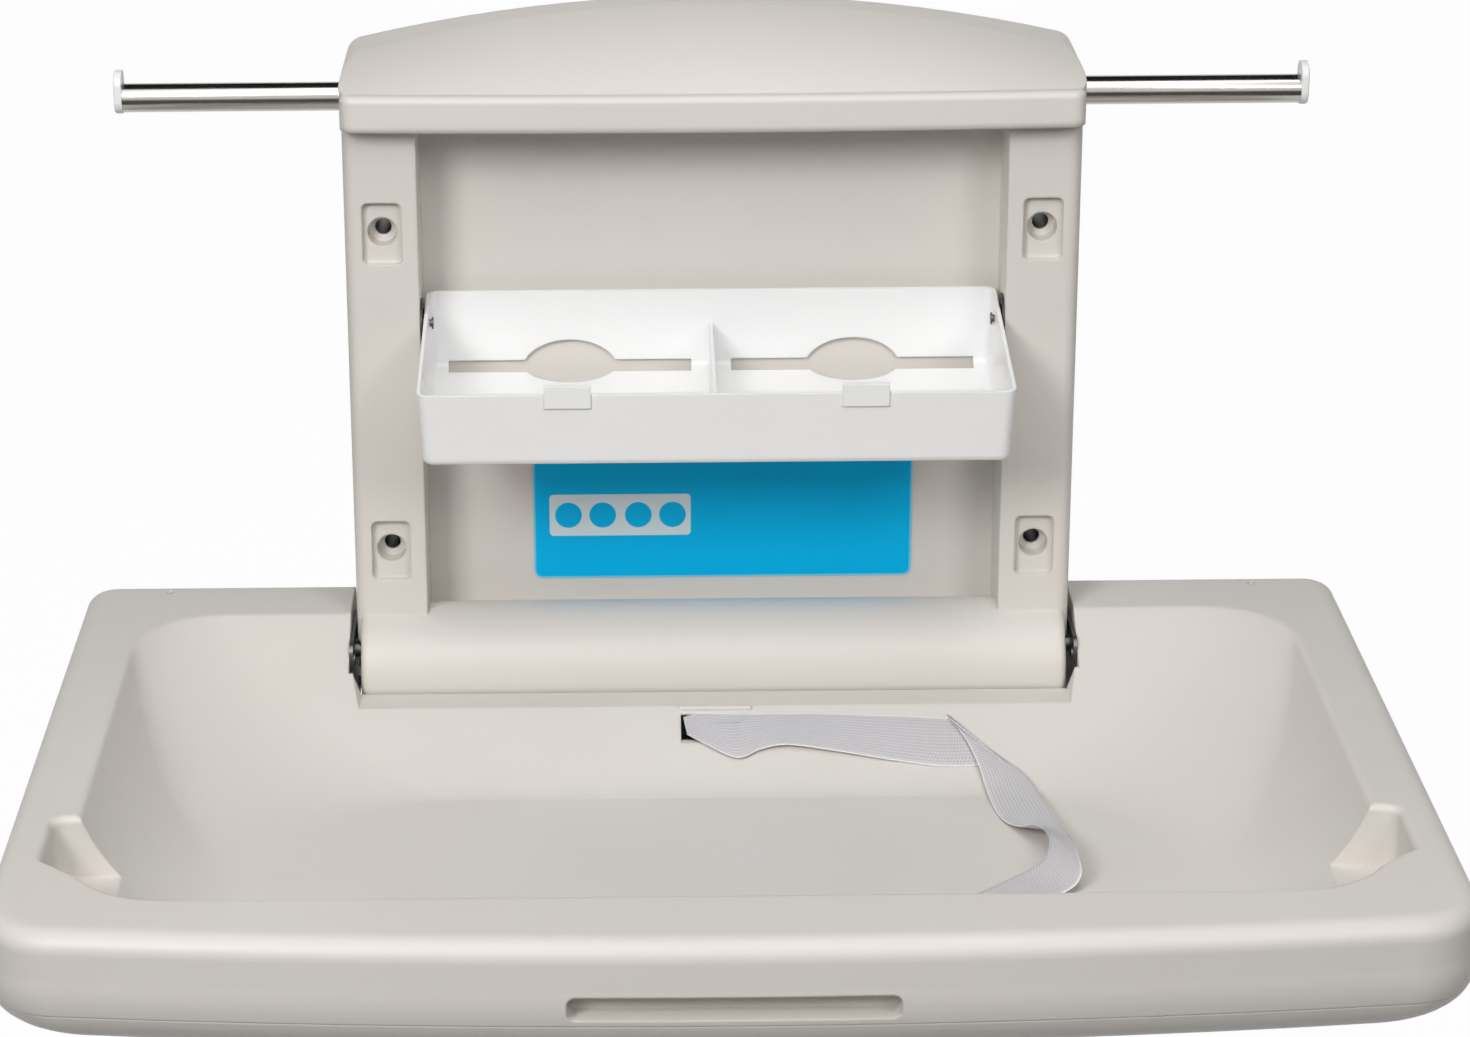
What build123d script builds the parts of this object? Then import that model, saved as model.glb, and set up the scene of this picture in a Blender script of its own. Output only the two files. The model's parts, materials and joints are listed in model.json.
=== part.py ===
from build123d import *
import math
import os

# Folding changing table that hangs on a wall, drawn with its bed folded down.
# Frame: the origin is the centre of the four wall bolts, on the wall's face.
# X runs to the right, Y runs into the wall, Z runs up. All lengths are millimetres.

# The two half widths that the rest follows: the wall unit's and the bed's
unit_half = 242.5
bed_half = 432.5

# Wall bolts
bolt_in = 25.0
bolt_half_z = 111.0
bolt_hole_r = 5.5

# Shared making sizes
wall = 3.0
skin_gap = 0.3
running_gap = 0.05
press_gap = 0.01
cut_over = 20.0
fine_gap = 0.4
fine_share = 0.0001

# Wall unit: two columns, a recess between them, a header above and a roller below
column_wide = 48.5
column_front = 84.0
column_round = 9.0
recess_back = 35.0
recess_top_drop = 1.0
recess_round = 7.0
recess_below = 15.0
roller_y = -71.0
roller_z = -197.5
roller_r = 42.0
roller_in = 3.5
roller_end_round = 5.0

# Header: an arched hood with a sloping front, and a lip along its lower edge
header_low = 184.0
header_crown_rise = 66.5
header_shoulder_rise = 38.0
header_shoulder_round = 13.0
hood_crown_depth = 22.0
hood_side_depth = 45.0
hood_crown_bulge = 6.0
hood_side_bulge = 2.0
hood_foot_in = 0.8
hood_foot_sunk = 0.4
hood_slope_over = 2.0
lip_front = 112.0
lip_deep = 40.0
lip_high = 25.0
lip_round = 5.0
lip_bow = 6.0
lip_side_in = 1.0
hood_edge_round = 14.0
hood_edge_gap = 1.5

# Bolt pockets in the columns
pocket_wide = 26.0
pocket_high = 42.0
pocket_round = 4.0
pocket_deep = 6.0
counterbore_r = 9.75
counterbore_deep = 13.0
sleeve_r = 9.0

# Rear cover, steel plate and their screws
cover_thick = 3.0
plate_thick = 2.5
plate_in = 10.5
plate_above_header = 26.0
plate_below_roller = 28.5
cover_screw_r = 1.8
cover_screw_head_r = 3.4
cover_screw_head = 1.6
cover_screw_long = 14.0
boss_r = 5.0
cover_screw_in = 14.0
cover_screw_above_roller = 51.5
cover_screw_below_header = 12.0

# Hanger rail and its end caps
rail_y = -58.0
rail_above_header = 14.0
rail_r = 9.5
rail_wall = 1.2
rail_in = 46.5
cap_thick = 5.0
cap_over = 0.6
cap_ear = 9.0
cap_plug_long = 12.0
saddle_in = 37.5
saddle_wide = 18.0
saddle_ring = 4.0

# Hinge axis of the bed, with its shaft, bushes, brackets and dampers
hinge_ahead = 3.0
hinge_above = 10.5
shaft_r = 7.0
bush_wall = 3.0
bush_flange = 2.0
bush_flange_thick = 1.5
bracket_in = 13.0
bracket_thick = 5.0
bracket_nose_r = 22.0
bracket_foot = 22.0
bracket_foot_thick = 4.0
bracket_root_below = 37.0
bracket_root_above = 19.0
shaft_hole_gap = 3.0
damper_r = 15.0
damper_long = 70.0
damper_wall = 2.6
damper_end = 4.0
damper_flange_r = 21.0
rotor_wall = 2.2
vane_thick = 4.0
vane_gap = 0.4
damper_screw_r = 2.0
damper_screw_head_r = 3.2
damper_screw_head = 1.6
dog_x = 60.0
dog_thick = 12.0
dog_ring_r = 13.0
dog_arm = 30.0
dog_arm_deep = 9.0
stop_block_high = 12.0

# Hinge plates on the bed's cheeks
hinge_plate_thick = 2.5
hinge_plate_round = 8.0
hinge_plate_ahead = 30.0
hinge_plate_behind = 44.0
hinge_plate_below = 46.0
hinge_plate_above = 15.0
plate_screw_r = 2.4
plate_screw_head_r = 4.6
plate_screw_head = 1.2
plate_screw_long = 14.0
plate_screw_dy = (-22.0, 30.0)
plate_screw_dz = (2.0, -36.0)

# Bed: plan outline, heights and the tub inside
bed_rear = -13.0
bed_front = -589.0
bed_front_bow = 24.0
bed_rise = 27.0
bed_high = 90.0
bed_straight = 30.0
bed_under_in = 60.0
bed_rear_corner = 21.0
bed_front_corner = 46.0
bed_top_round = 13.0
rim_inner_round = 5.0
parting_drop = 53.0
under_curve_share = 3.5
under_level_shares = (0.0, 0.3, 0.55, 0.75, 0.9, 1.0)
under_rear_share = 0.18

notch_side_gap = 8.0
notch_front_gap = 2.0
strip_drop = 43.0
strip_wide = 30.0
strip_side_in = 8.0

rim_side = 42.5
rim_rear = 61.0
rim_front = 65.0
tub_floor_thick = 12.0
tub_side_run = 96.0
tub_rear_run = 140.0
tub_front_run = 26.0
tub_rear_corner = 58.0
tub_front_corner = 64.0
tub_floor_rear_corner = 120.0
tub_floor_front_corner = 84.0
tub_level_shares = (0.0, 0.3, 0.6, 0.82, 0.95, 1.0)
side_line_share = 0.27
rear_line_share = 0.8
cut_rise = 6.0

# Corner pockets that take the rail's ends, finger grip and vent holes
rail_pocket_end_gap = 15.0
rail_pocket_wide = 54.0
rail_pocket_behind = 51.0
rail_pocket_ahead = 7.0
rail_pocket_deep = 40.0
rail_pocket_round = 9.0
rail_pocket_slant_in = 27.0
rail_pocket_slant_ahead = 25.0
grip_half = 95.0
grip_high = 15.0
grip_deep = 18.0
grip_round = 5.0
grip_below_rim = 41.3
vent_in = 57.5
vent_ahead = 18.0
vent_r = 2.4

# Steel inside the bed, and the screws that hold its two mouldings together
bar_wide = 34.0
bar_thick = 4.0
bar_front_in = 119.0
bar_rear_in = 20.0
flange_thick = 3.0
flange_rear_in = 27.0
flange_shares = (0.155, 0.35, 0.53, 0.7, 0.8)
crossbar_deep = 22.0
crossbar_high = 14.0
bed_screw_r = 2.0
bed_screw_head_r = 4.0
bed_screw_head = 2.0
bed_screw_long = 24.0
bed_screw_sunk = 16.0
bed_boss_r = 6.0
bed_screw_front_in = 69.0
bed_screw_front_shares = (0.25, 0.75)
bed_screw_rear_in = 41.0
bed_screw_rear_side_in = 102.5
bed_screw_side_in = 58.5
bed_screw_side_shares = (0.31, 0.57)

# Liner tray: a box that tips up into the recess
tray_side_gap = 3.0
tray_long = 152.0
tray_rear_high = 57.5
tray_front_high = 51.5
tray_wall = 2.5
tray_rear_taper = 1.5
tray_front_out = 1.5
tray_front_taper = 3.0
tray_lean = 2.0
tray_round = 7.0
tray_foot_round = 5.5
tray_tilt = 7.5
tray_pivot_in = 26.0
tray_pivot_down = 12.0
tray_pivot_z = 44.6
divider_thick = 2.5
divider_drop = 24.0
slot_end_in = 13.5
slot_up = 4.0
slot_in = 10.0
oval_half = 32.0
oval_up = 19.0
oval_in = 27.0
tab_half = 15.0
tab_up = 6.5
tab_out = 1.0
tab_high = 9.0
catch_in = 100.0
catch_down = 8.0
catch_r = 2.4
catch_long = 3.0
tray_pin_r = 2.5
tray_pin_head_r = 4.0
tray_pin_head = 1.2
tray_bracket_thick = 1.4
tray_bracket_r = 17.0
tray_bracket_hub = 0.8
tray_bracket_hub_r = 5.5
tray_bracket_screw_r = 1.5
tray_bracket_screw_head_r = 2.8
tray_bracket_screw_head = 1.0
tray_bracket_screw_long = 9.0
tray_bracket_screw_out = 11.0

# Printed plate on the recess's back
label_left_in = 72.0
label_right_in = 56.0
label_above_roller = 47.5
label_tall = 136.0
label_thick = 0.8
label_round = 6.0

# Safety strap of woven webbing, with its buckle and its anchors
strap_wide = 38.0
strap_thick = 1.6
strap_lift = 0.5
strap_slot_half = 23.0
slot_top_share = 0.60
slot_low_share = 0.75
slot_bead_r = 1.8
slot_bead_over = 1.5
slot_bead_up_share = 0.035
strap_top_share = 0.59
strap_low_share = 0.83
strap_turn_x = 154.0
strap_turn_lead = 36.0
strap_pairs = (
    (165.0, -97.0, 4.0, 201.0, -119.0, 2.5),
    (173.0, -119.0, 4.5, 207.0, -135.0, 3.5),
    (177.0, -137.0, 3.0, 212.0, -150.0, 3.0),
    (179.0, -160.0, 1.5, 215.0, -172.0, 4.5),
    (184.0, -182.0, 1.5, 217.0, -200.0, 7.0),
    (191.0, -199.0, 4.0, 218.0, -224.0, 9.5),
    (199.0, -216.0, 9.0, 220.0, -246.0, 11.5),
    (205.0, -231.0, 10.5, 221.0, -264.0, 12.0),
    (207.0, -244.0, 9.5, 222.0, -278.0, 11.0),
    (204.0, -253.0, 7.0, 222.0, -286.0, 9.0),
    (197.0, -260.0, 4.5, 219.0, -290.0, 6.5),
    (189.0, -265.0, 2.5, 214.0, -293.0, 4.0),
    (178.0, -273.0, 1.0, 203.0, -301.0, 1.5),
    (161.0, -288.0, 0.5, 184.0, -318.0, 0.5),
    (139.0, -302.0, 0.5, 154.0, -337.0, 0.5),
    (112.0, -316.0, 0.5, 116.0, -354.0, 0.5),
    (84.0, -318.0, 0.5, 84.0, -356.0, 0.5),
)
anchor_behind = 26.0
anchor_r = 3.0
anchor_half = 26.0
anchor_thick = 3.0
front_anchor_behind = 13.0
front_anchor_up = 9.0
front_slot_high = 6.0
front_strap_lead = 9.0
socket_in = 60.0
plug_x = 84.0
plug_ahead = 337.0
buckle_wide = 46.0
buckle_high = 11.0
buckle_corner = 5.0
buckle_edge = 1.5
buckle_bar = 4.0
buckle_bar_low = 3.0
buckle_bar_top = 8.0
buckle_side = 3.0
buckle_mouth_high = 6.4
socket_long = 34.0
socket_deep = 20.0
socket_window_in = 6.0
plug_base = 14.0
arm_long = 17.0
arm_wide = 4.5
arm_high = 5.4
arm_barb = 3.0
arm_tip = 7.0
guide_wide = 6.0
guide_long = 12.0

# Places and sizes that follow from those above
bolt_half_x = unit_half - bolt_in
recess_half = unit_half - column_wide
recess_top = header_low - recess_top_drop
roller_half = unit_half - roller_in
header_half = unit_half
header_crown = header_low + header_crown_rise
header_shoulder = header_low + header_shoulder_rise
lip_top = header_low + lip_high
plate_half = unit_half - plate_in
plate_top = header_low + plate_above_header
plate_bottom = roller_z - plate_below_roller
rail_z = header_low + rail_above_header
rail_half = bed_half - rail_in
saddle_x = unit_half - saddle_in
hinge_y = roller_y - hinge_ahead
hinge_z = roller_z + hinge_above
bracket_x = roller_half - bracket_in
bracket_root_low = hinge_z - bracket_root_below
bracket_root_high = hinge_z + bracket_root_above
notch_half = roller_half + notch_side_gap
notch_front = roller_y - roller_r - notch_front_gap
strip_front = notch_front - strip_wide
rim_z = hinge_z + bed_rise
bed_bottom = rim_z - bed_high
parting_z = rim_z - parting_drop
tub_deep = bed_high - tub_floor_thick
tub_half = bed_half - rim_side
tub_rear = bed_rear - rim_rear
tub_front = bed_front + rim_front
floor_z = rim_z - tub_deep
strip_z = rim_z - strip_drop
rail_shut_y = hinge_y - (rail_z - hinge_z)
front_anchor_y = tub_front + front_anchor_behind
front_anchor_z = floor_z + front_anchor_up
socket_y = tub_front + socket_in
plug_y = tub_rear - plug_ahead
tray_half = recess_half - tray_side_gap
tray_slot_x = tray_half / 2
tray_slot_half = tray_half / 2 - slot_end_in
tray_pivot_y = -(recess_back + skin_gap
                 + tray_pivot_in * math.cos(math.radians(tray_tilt))
                 + (tray_rear_high - tray_pivot_down) * math.sin(math.radians(tray_tilt)))


def block(x0, x1, y0, y1, z0, z1):
    """Box between two corners."""
    return Pos((x0 + x1) / 2, (y0 + y1) / 2, (z0 + z1) / 2) * Box(x1 - x0, y1 - y0, z1 - z0)


def rod_x(x0, x1, y, z, r):
    """Round bar along X."""
    return Pos((x0 + x1) / 2, y, z) * Rot(0, 90, 0) * Cylinder(r, x1 - x0)


def rod_y(x, y0, y1, z, r):
    """Round bar along Y."""
    return Pos(x, (y0 + y1) / 2, z) * Rot(90, 0, 0) * Cylinder(r, y1 - y0)


def rod_z(x, y, z0, z1, r):
    """Round bar along Z."""
    return Pos(x, y, (z0 + z1) / 2) * Cylinder(r, z1 - z0)


def front_sheet(x0, x1, z0, z1, radius, y):
    """Rounded rectangle that stands in the X-Z plane at a given Y."""
    flat = Rectangle(x1 - x0, z1 - z0)
    if radius > 0:
        flat = fillet(flat.vertices(), radius)
    return Pos((x0 + x1) / 2, y, (z0 + z1) / 2) * Rot(90, 0, 0) * flat


def front_slab(x0, x1, z0, z1, radius, y0, y1):
    """Rounded rectangle carried along Y from y0 down to y1."""
    return extrude(front_sheet(x0, x1, z0, z1, radius, y0), amount=y0 - y1)


def side_slab(flat, x0, x1):
    """Sketch read as Y and Z, carried along X from x0 to x1."""
    return extrude(Pos(x0, 0, 0) * (Plane.YZ * flat), amount=x1 - x0)


def side_span(side, near, far):
    """Lowest and highest X of a piece that lies between near and far on one side."""
    return min(side * near, side * far), max(side * near, side * far)


# Wall unit

def header_arch(inset):
    """Arched outline of the header: flat below, round shoulders and an arc above, carried along Y."""
    half = header_half - inset
    low, crown, shoulder = header_low + inset, header_crown - inset, header_shoulder - inset
    arc = ThreePointArc((half, shoulder), (0, crown), (-half, shoulder))
    flat = make_face([Line((-half, low), (half, low)), Line((half, low), (half, shoulder)), arc,
                      Line((-half, shoulder), (-half, low))])
    flat = fillet(flat.vertices().sort_by(Axis.Y)[-2:], header_shoulder_round - inset)
    return extrude(Rot(90, 0, 0) * flat, amount=lip_front)


def hood_side(x, foot_y, top_depth, top_z, bulge, inset):
    """Side view of the hood at one X: upright at the lip, then a convex slope up to its crease."""
    foot = (foot_y + inset, lip_top - hood_foot_sunk - inset)
    crease = (-top_depth + inset, top_z - inset)
    run = math.dist(foot, crease)
    share = (run + hood_slope_over) / run
    crease = (foot[0] + (crease[0] - foot[0]) * share, foot[1] + (crease[1] - foot[1]) * share)
    middle = ((foot[0] + crease[0]) / 2 - bulge * (crease[1] - foot[1]) / run,
              (foot[1] + crease[1]) / 2 + bulge * (crease[0] - foot[0]) / run)
    slope = ThreePointArc(foot, middle, crease)
    back = Polyline(crease, (cut_over, crease[1] + cut_over), (cut_over, header_low - cut_over),
                    (foot[0], header_low - cut_over), foot)
    return Pos(x, 0, 0) * (Plane.YZ * make_face([slope, back]))


def header(inset):
    """Hood and lip of the header, drawn in by a wall's thickness when inset is given."""
    foot_middle = -lip_front + lip_round + hood_foot_in
    foot_side = foot_middle + lip_bow
    sections = []
    for side in (-1, 0, 1):
        depth = hood_side_depth if side else hood_crown_depth
        top = header_shoulder if side else header_crown
        bulge = hood_side_bulge if side else hood_crown_bulge
        foot = foot_side if side else foot_middle
        sections.append(hood_side(side * header_half, foot, depth, top, bulge, inset))
    return (header_arch(inset) & loft(sections) & rounded_plan(inset)) + lip_bar(inset)


def rounded_plan(inset):
    """Upright prism with rounded front corners, which rounds the ends of the hood."""
    half = header_half - inset
    front = -lip_front + lip_round - hood_edge_gap + inset
    side = front + lip_bow
    bow = ThreePointArc((-half, side), (0, front), (half, side))
    plan = make_face([Line((-half, side), (-half, cut_over)), Line((-half, cut_over), (half, cut_over)),
                      Line((half, cut_over), (half, side)), bow])
    plan = fillet(plan.vertices().sort_by(Axis.Y)[:2], hood_edge_round - inset)
    low, high = header_low - cut_over, header_crown + cut_over
    return extrude(Pos(0, 0, low) * plan, amount=high - low)


def lip_bar(inset):
    """Bowed bar along the header's lower edge."""
    half = header_half - lip_side_in - inset
    back = -lip_front + lip_deep
    front = -lip_front + inset
    side = front + lip_bow
    bow = ThreePointArc((-half, side), (0, front), (half, side))
    plan = make_face([Line((-half, side), (-half, back)), Line((-half, back), (half, back)),
                      Line((half, back), (half, side)), bow])
    plan = fillet(plan.vertices().sort_by(Axis.Y)[:2], column_round)
    low, high = header_low + inset, lip_top - inset
    bar = extrude(Pos(0, 0, low) * plan, amount=high - low)
    level_edges = bar.edges().filter_by(lambda e: abs(e.center().Z - (low + high) / 2) > lip_round)
    front_edges = [e for e in level_edges if e.center().Y < side + lip_bow]
    return fillet(front_edges, lip_round - inset)


def columns(inset):
    """Slab of the two columns, before the recess is cut."""
    half = unit_half - inset
    low, high = roller_z, header_low + lip_round
    slab = block(-half, half, -column_front + inset, 0, low, high)
    fronts = slab.edges().filter_by(Axis.Z).sort_by(Axis.Y)[:2]
    return fillet(fronts, column_round - inset)


def roller_barrel(inset):
    """Half-round bulge along the lower edge."""
    half = roller_half - inset
    barrel = rod_x(-half, half, roller_y, roller_z, roller_r - inset)
    ends = barrel.edges().filter_by(GeomType.CIRCLE)
    return fillet(ends, roller_end_round - inset) if inset < roller_end_round else barrel


def roller_back(inset):
    """Block between the roller and the wall."""
    half = roller_half - inset
    r = roller_r - inset
    return block(-half, half, roller_y, 0, roller_z - r, roller_z + r)


def recess_cut(grow):
    """Space between the columns, which runs down behind the top of the roller."""
    return front_slab(-recess_half - grow, recess_half + grow, roller_z + recess_below - grow,
                      recess_top + grow, recess_round + grow, -recess_back + grow,
                      -lip_front - cut_over)


def unit_form(inset):
    """Form of the wall unit with its recess, drawn in by a wall's thickness when inset is given."""
    block_form = columns(inset) + header(inset) + roller_back(inset)
    return block_form - recess_cut(inset) + roller_barrel(inset)


def bolt_places():
    """Centres of the four wall bolts."""
    return [(sx * bolt_half_x, sz * bolt_half_z) for sx in (-1, 1) for sz in (-1, 1)]


def bolt_cuts(grow):
    """Pockets and counterbores of the four wall bolts."""
    cuts = []
    face = -column_front
    for x, z in bolt_places():
        pocket = front_slab(x - pocket_wide / 2 - grow, x + pocket_wide / 2 + grow,
                            z - pocket_high / 2 - grow, z + pocket_high / 2 + grow,
                            pocket_round + grow, face + pocket_deep + grow, face - cut_over)
        bore = rod_y(x, face - cut_over, face + pocket_deep + counterbore_deep + grow, z,
                     counterbore_r + grow)
        cuts.append(pocket + bore)
    return cuts


def bolt_holes(y0, y1, r):
    """Straight holes on the four bolt centres."""
    return [rod_y(x, y0, y1, z, r) for x, z in bolt_places()]


def cover_screw_places():
    """Screws that hold the rear cover, two to a row."""
    levels = (roller_z + cover_screw_above_roller, 0, header_low - cover_screw_below_header)
    reach = plate_half - cover_screw_in
    return [(side * reach, z) for side in (-1, 1) for z in levels]


def rear_inner(inset, y0, y1):
    """Outline of the unit at the wall, drawn in and carried along Y."""
    tall = (header_crown, header_shoulder)
    half = unit_half - inset
    low = roller_z - roller_r + inset
    arc = ThreePointArc((half, tall[1] - inset), (0, tall[0] - inset), (-half, tall[1] - inset))
    flat = make_face([Line((-half, low), (half, low)), Line((half, low), (half, tall[1] - inset)),
                      arc, Line((-half, tall[1] - inset), (-half, low))])
    flat = fillet(flat.vertices().sort_by(Axis.Y)[-2:], header_shoulder_round)
    return extrude(Pos(0, y0, 0) * Rot(90, 0, 0) * flat, amount=y0 - y1)


def front_moulding():
    """Thin front shell of the wall unit, open towards the wall."""
    hollow = unit_form(wall)
    for cut in bolt_cuts(wall):
        hollow -= cut
    for x, z in cover_screw_places():
        hollow -= rod_y(x, -lip_front, -cover_thick - skin_gap, z, boss_r)
    shell = unit_form(0)
    for cut in bolt_cuts(0):
        shell -= cut
    shell -= hollow
    shell -= block(-unit_half + wall, unit_half - wall, -cover_thick - skin_gap, cut_over,
                   roller_z - roller_r + wall, header_shoulder - header_shoulder_round)
    shell -= rear_inner(wall, cut_over, -cover_thick - skin_gap)
    for hole in bolt_holes(-column_front, cut_over, bolt_hole_r):
        shell -= hole
    for x, z in cover_screw_places():
        shell -= rod_y(x, -cover_screw_long - skin_gap, cut_over, z, cover_screw_r)
    for y, z in bracket_screw_places():
        shell -= rod_x(-unit_half + wall, unit_half - wall, y, z, tray_bracket_screw_r)
    shell -= rod_x(-header_half - cut_over, header_half + cut_over, rail_y, rail_z,
                   rail_r + skin_gap)
    shell -= rod_x(-roller_half - cut_over, roller_half + cut_over, hinge_y, hinge_z,
                   shaft_r + shaft_hole_gap)
    return shell


def back_cover():
    """Flat rear cover that closes the shell against the wall."""
    cover = rear_inner(wall + skin_gap, 0, -cover_thick)
    for hole in bolt_holes(-cut_over, cut_over, bolt_hole_r):
        cover -= hole
    for x, z in cover_screw_places():
        cover -= rod_y(x, -cut_over, cut_over, z, cover_screw_r + skin_gap)
        cover -= rod_y(x, -cover_screw_head - skin_gap, cut_over, z, cover_screw_head_r + skin_gap)
    return cover


def cover_screws():
    """Screws of the rear cover."""
    screws = []
    for x, z in cover_screw_places():
        head = rod_y(x, -cover_screw_head, 0, z, cover_screw_head_r)
        shank = rod_y(x, -cover_screw_long, -cover_screw_head, z, cover_screw_r - running_gap)
        screws.append(head + shank)
    return Compound(children=screws)


def steel_plate():
    """Steel plate behind the shell that carries the bolts' load to the hinge brackets."""
    back, front = -cover_thick, -cover_thick - plate_thick
    plate = front_slab(-plate_half, plate_half, plate_bottom, plate_top, pocket_round, back, front)
    for hole in bolt_holes(-cut_over, cut_over, bolt_hole_r):
        plate -= hole
    for x, z in cover_screw_places():
        plate -= rod_y(x, -cut_over, cut_over, z, boss_r + fine_gap)
    return plate


def sleeves():
    """Steel spacer sleeves between the counterbores and the steel plate."""
    front = -column_front + pocket_deep + counterbore_deep + wall
    back = -cover_thick - plate_thick
    tubes = [rod_y(x, front, back, z, sleeve_r) - rod_y(x, front, back, z, bolt_hole_r)
             for x, z in bolt_places()]
    return Compound(children=tubes)


# Hanger rail

def rail_tube():
    """Polished tube that runs through the header."""
    outer = rod_x(-rail_half, rail_half, rail_y, rail_z, rail_r)
    return outer - rod_x(-rail_half, rail_half, rail_y, rail_z, rail_r - rail_wall)


def rail_cap(side):
    """End cap with an ear that stands above the tube, and a plug that fills its bore."""
    low = rail_z - rail_r - cap_over
    high = rail_z + rail_r + cap_ear
    half = rail_r + cap_over
    plate = RectangleRounded(2 * half, high - low, half - cap_over / 2)
    x0 = rail_half if side > 0 else -rail_half - cap_thick
    disc = side_slab(Pos(rail_y, (low + high) / 2) * plate, x0, x0 + cap_thick)
    outer = disc.faces().sort_by(Axis.X)[-1 if side > 0 else 0]
    disc = fillet(outer.edges(), cap_over * 2)
    near, far = side * (rail_half - cap_plug_long), side * rail_half
    plug = rod_x(min(near, far), max(near, far), rail_y, rail_z, rail_r - rail_wall - running_gap)
    return disc + plug


def rail_saddles():
    """Blocks inside the header that hold the rail to the steel plate."""
    blocks = []
    low = recess_top + wall + skin_gap
    for side in (-1, 1):
        x0 = side * saddle_x - saddle_wide / 2
        x1 = x0 + saddle_wide
        stem = block(x0, x1, rail_y, -cover_thick - plate_thick, low, rail_z + rail_r)
        ring = rod_x(x0, x1, rail_y, rail_z, rail_r + saddle_ring)
        ring -= block(x0, x1, rail_y - 2 * rail_r, rail_y + 2 * rail_r, low - cut_over, low)
        blocks.append(stem + ring - rod_x(x0, x1, rail_y, rail_z, rail_r + running_gap))
    return Compound(children=blocks)


# Hinge of the bed

def bracket_outline(x0, x1):
    """Side view of a bearing bracket, carried along X between two places."""
    root = -cover_thick - plate_thick
    web = Polyline((root, bracket_root_low), (hinge_y, hinge_z - bracket_nose_r),
                   (hinge_y, hinge_z + bracket_nose_r), (root, bracket_root_high), close=True)
    plate = side_slab(make_face(web), x0, x1)
    return plate + rod_x(x0, x1, hinge_y, hinge_z, bracket_nose_r)


def bearing_bracket(side):
    """Steel bracket that reaches from the plate to the hinge shaft."""
    x0 = side * bracket_x - bracket_thick / 2
    x1 = x0 + bracket_thick
    root = -cover_thick - plate_thick
    web = bracket_outline(x0, x1)
    inner = x0 if side > 0 else x1
    foot = block(min(inner, inner - side * bracket_foot), max(inner, inner - side * bracket_foot),
                 root - bracket_foot_thick, root, bracket_root_low, bracket_root_high)
    body = web + foot
    body -= rod_x(x0 - cut_over, x1 + cut_over, hinge_y, hinge_z, shaft_r + bush_wall)
    for y, z in damper_screw_places():
        body -= rod_x(x0 - cut_over, x1 + cut_over, y, z, damper_screw_r + running_gap)
    return body


def hinge_bush(side):
    """Flanged plain bush pressed into a bearing bracket."""
    x0 = side * bracket_x - bracket_thick / 2
    x1 = x0 + bracket_thick
    sleeve = rod_x(x0, x1, hinge_y, hinge_z, shaft_r + bush_wall - press_gap)
    outer = x1 if side > 0 else x0 - bush_flange_thick
    flange = rod_x(outer, outer + bush_flange_thick, hinge_y, hinge_z,
                   shaft_r + bush_wall + bush_flange)
    return sleeve + flange - rod_x(x0 - cut_over, x1 + cut_over, hinge_y, hinge_z,
                                   shaft_r + running_gap)


def hinge_shaft():
    """Steel shaft through the roller, welded to the hinge plates at both ends."""
    half = notch_half - fine_gap
    return rod_x(-half, half, hinge_y, hinge_z, shaft_r)


def damper_screw_places():
    """Two screws that hold a damper's flange to its bracket."""
    reach = (damper_r + damper_flange_r) / 2
    return [(hinge_y + reach * c, hinge_z + reach * s)
            for c, s in ((math.cos(a), math.sin(a)) for a in (math.radians(45), math.radians(225)))]


def damper_span(side):
    """Lowest and highest X of a damper."""
    face = side * (bracket_x - bracket_thick / 2)
    return min(face, face - side * damper_long), max(face, face - side * damper_long)


def damper_housing(side):
    """Barrel of a rotary damper with one fixed rib inside."""
    x0, x1 = damper_span(side)
    bore = damper_r - damper_wall
    barrel = rod_x(x0, x1, hinge_y, hinge_z, damper_r)
    face = x1 if side > 0 else x0
    barrel += rod_x(min(face, face - side * damper_end), max(face, face - side * damper_end),
                    hinge_y, hinge_z, damper_flange_r)
    chamber = rod_x(x0 + damper_end, x1 - damper_end, hinge_y, hinge_z, bore)
    low = shaft_r + rotor_wall + vane_gap
    rib = block(x0 + damper_end, x1 - damper_end, hinge_y + low, hinge_y + bore + damper_wall / 2,
                hinge_z - vane_thick / 2, hinge_z + vane_thick / 2)
    barrel = barrel - chamber + rib
    barrel -= rod_x(x0, x1, hinge_y, hinge_z, shaft_r + running_gap)
    for y, z in damper_screw_places():
        end = x1 if side > 0 else x0
        inner = end - side * damper_end
        barrel -= rod_x(min(end, inner), max(end, inner), y, z, damper_screw_r + running_gap)
    return barrel


def damper_rotor(side):
    """Sleeve and vane that turn with the shaft inside the damper."""
    x0, x1 = damper_span(side)
    x0 += damper_end + vane_gap
    x1 -= damper_end + vane_gap
    sleeve = rod_x(x0, x1, hinge_y, hinge_z, shaft_r + rotor_wall)
    tip = damper_r - damper_wall - vane_gap
    vane = block(x0, x1, hinge_y - tip, hinge_y - shaft_r, hinge_z - vane_thick, hinge_z)
    vane = vane & rod_x(x0, x1, hinge_y, hinge_z, tip)
    return sleeve + vane - rod_x(x0, x1, hinge_y, hinge_z, shaft_r)


def damper_screws():
    """Screws through the brackets into the dampers' ends."""
    screws = []
    for side in (-1, 1):
        outer = side * (bracket_x + bracket_thick / 2)
        inner = side * (bracket_x - bracket_thick / 2 - damper_end)
        for y, z in damper_screw_places():
            shank = rod_x(min(outer, inner), max(outer, inner), y, z, damper_screw_r)
            tip = outer + side * damper_screw_head
            screws.append(shank + rod_x(min(outer, tip), max(outer, tip), y, z, damper_screw_head_r))
    return Compound(children=screws)


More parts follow.
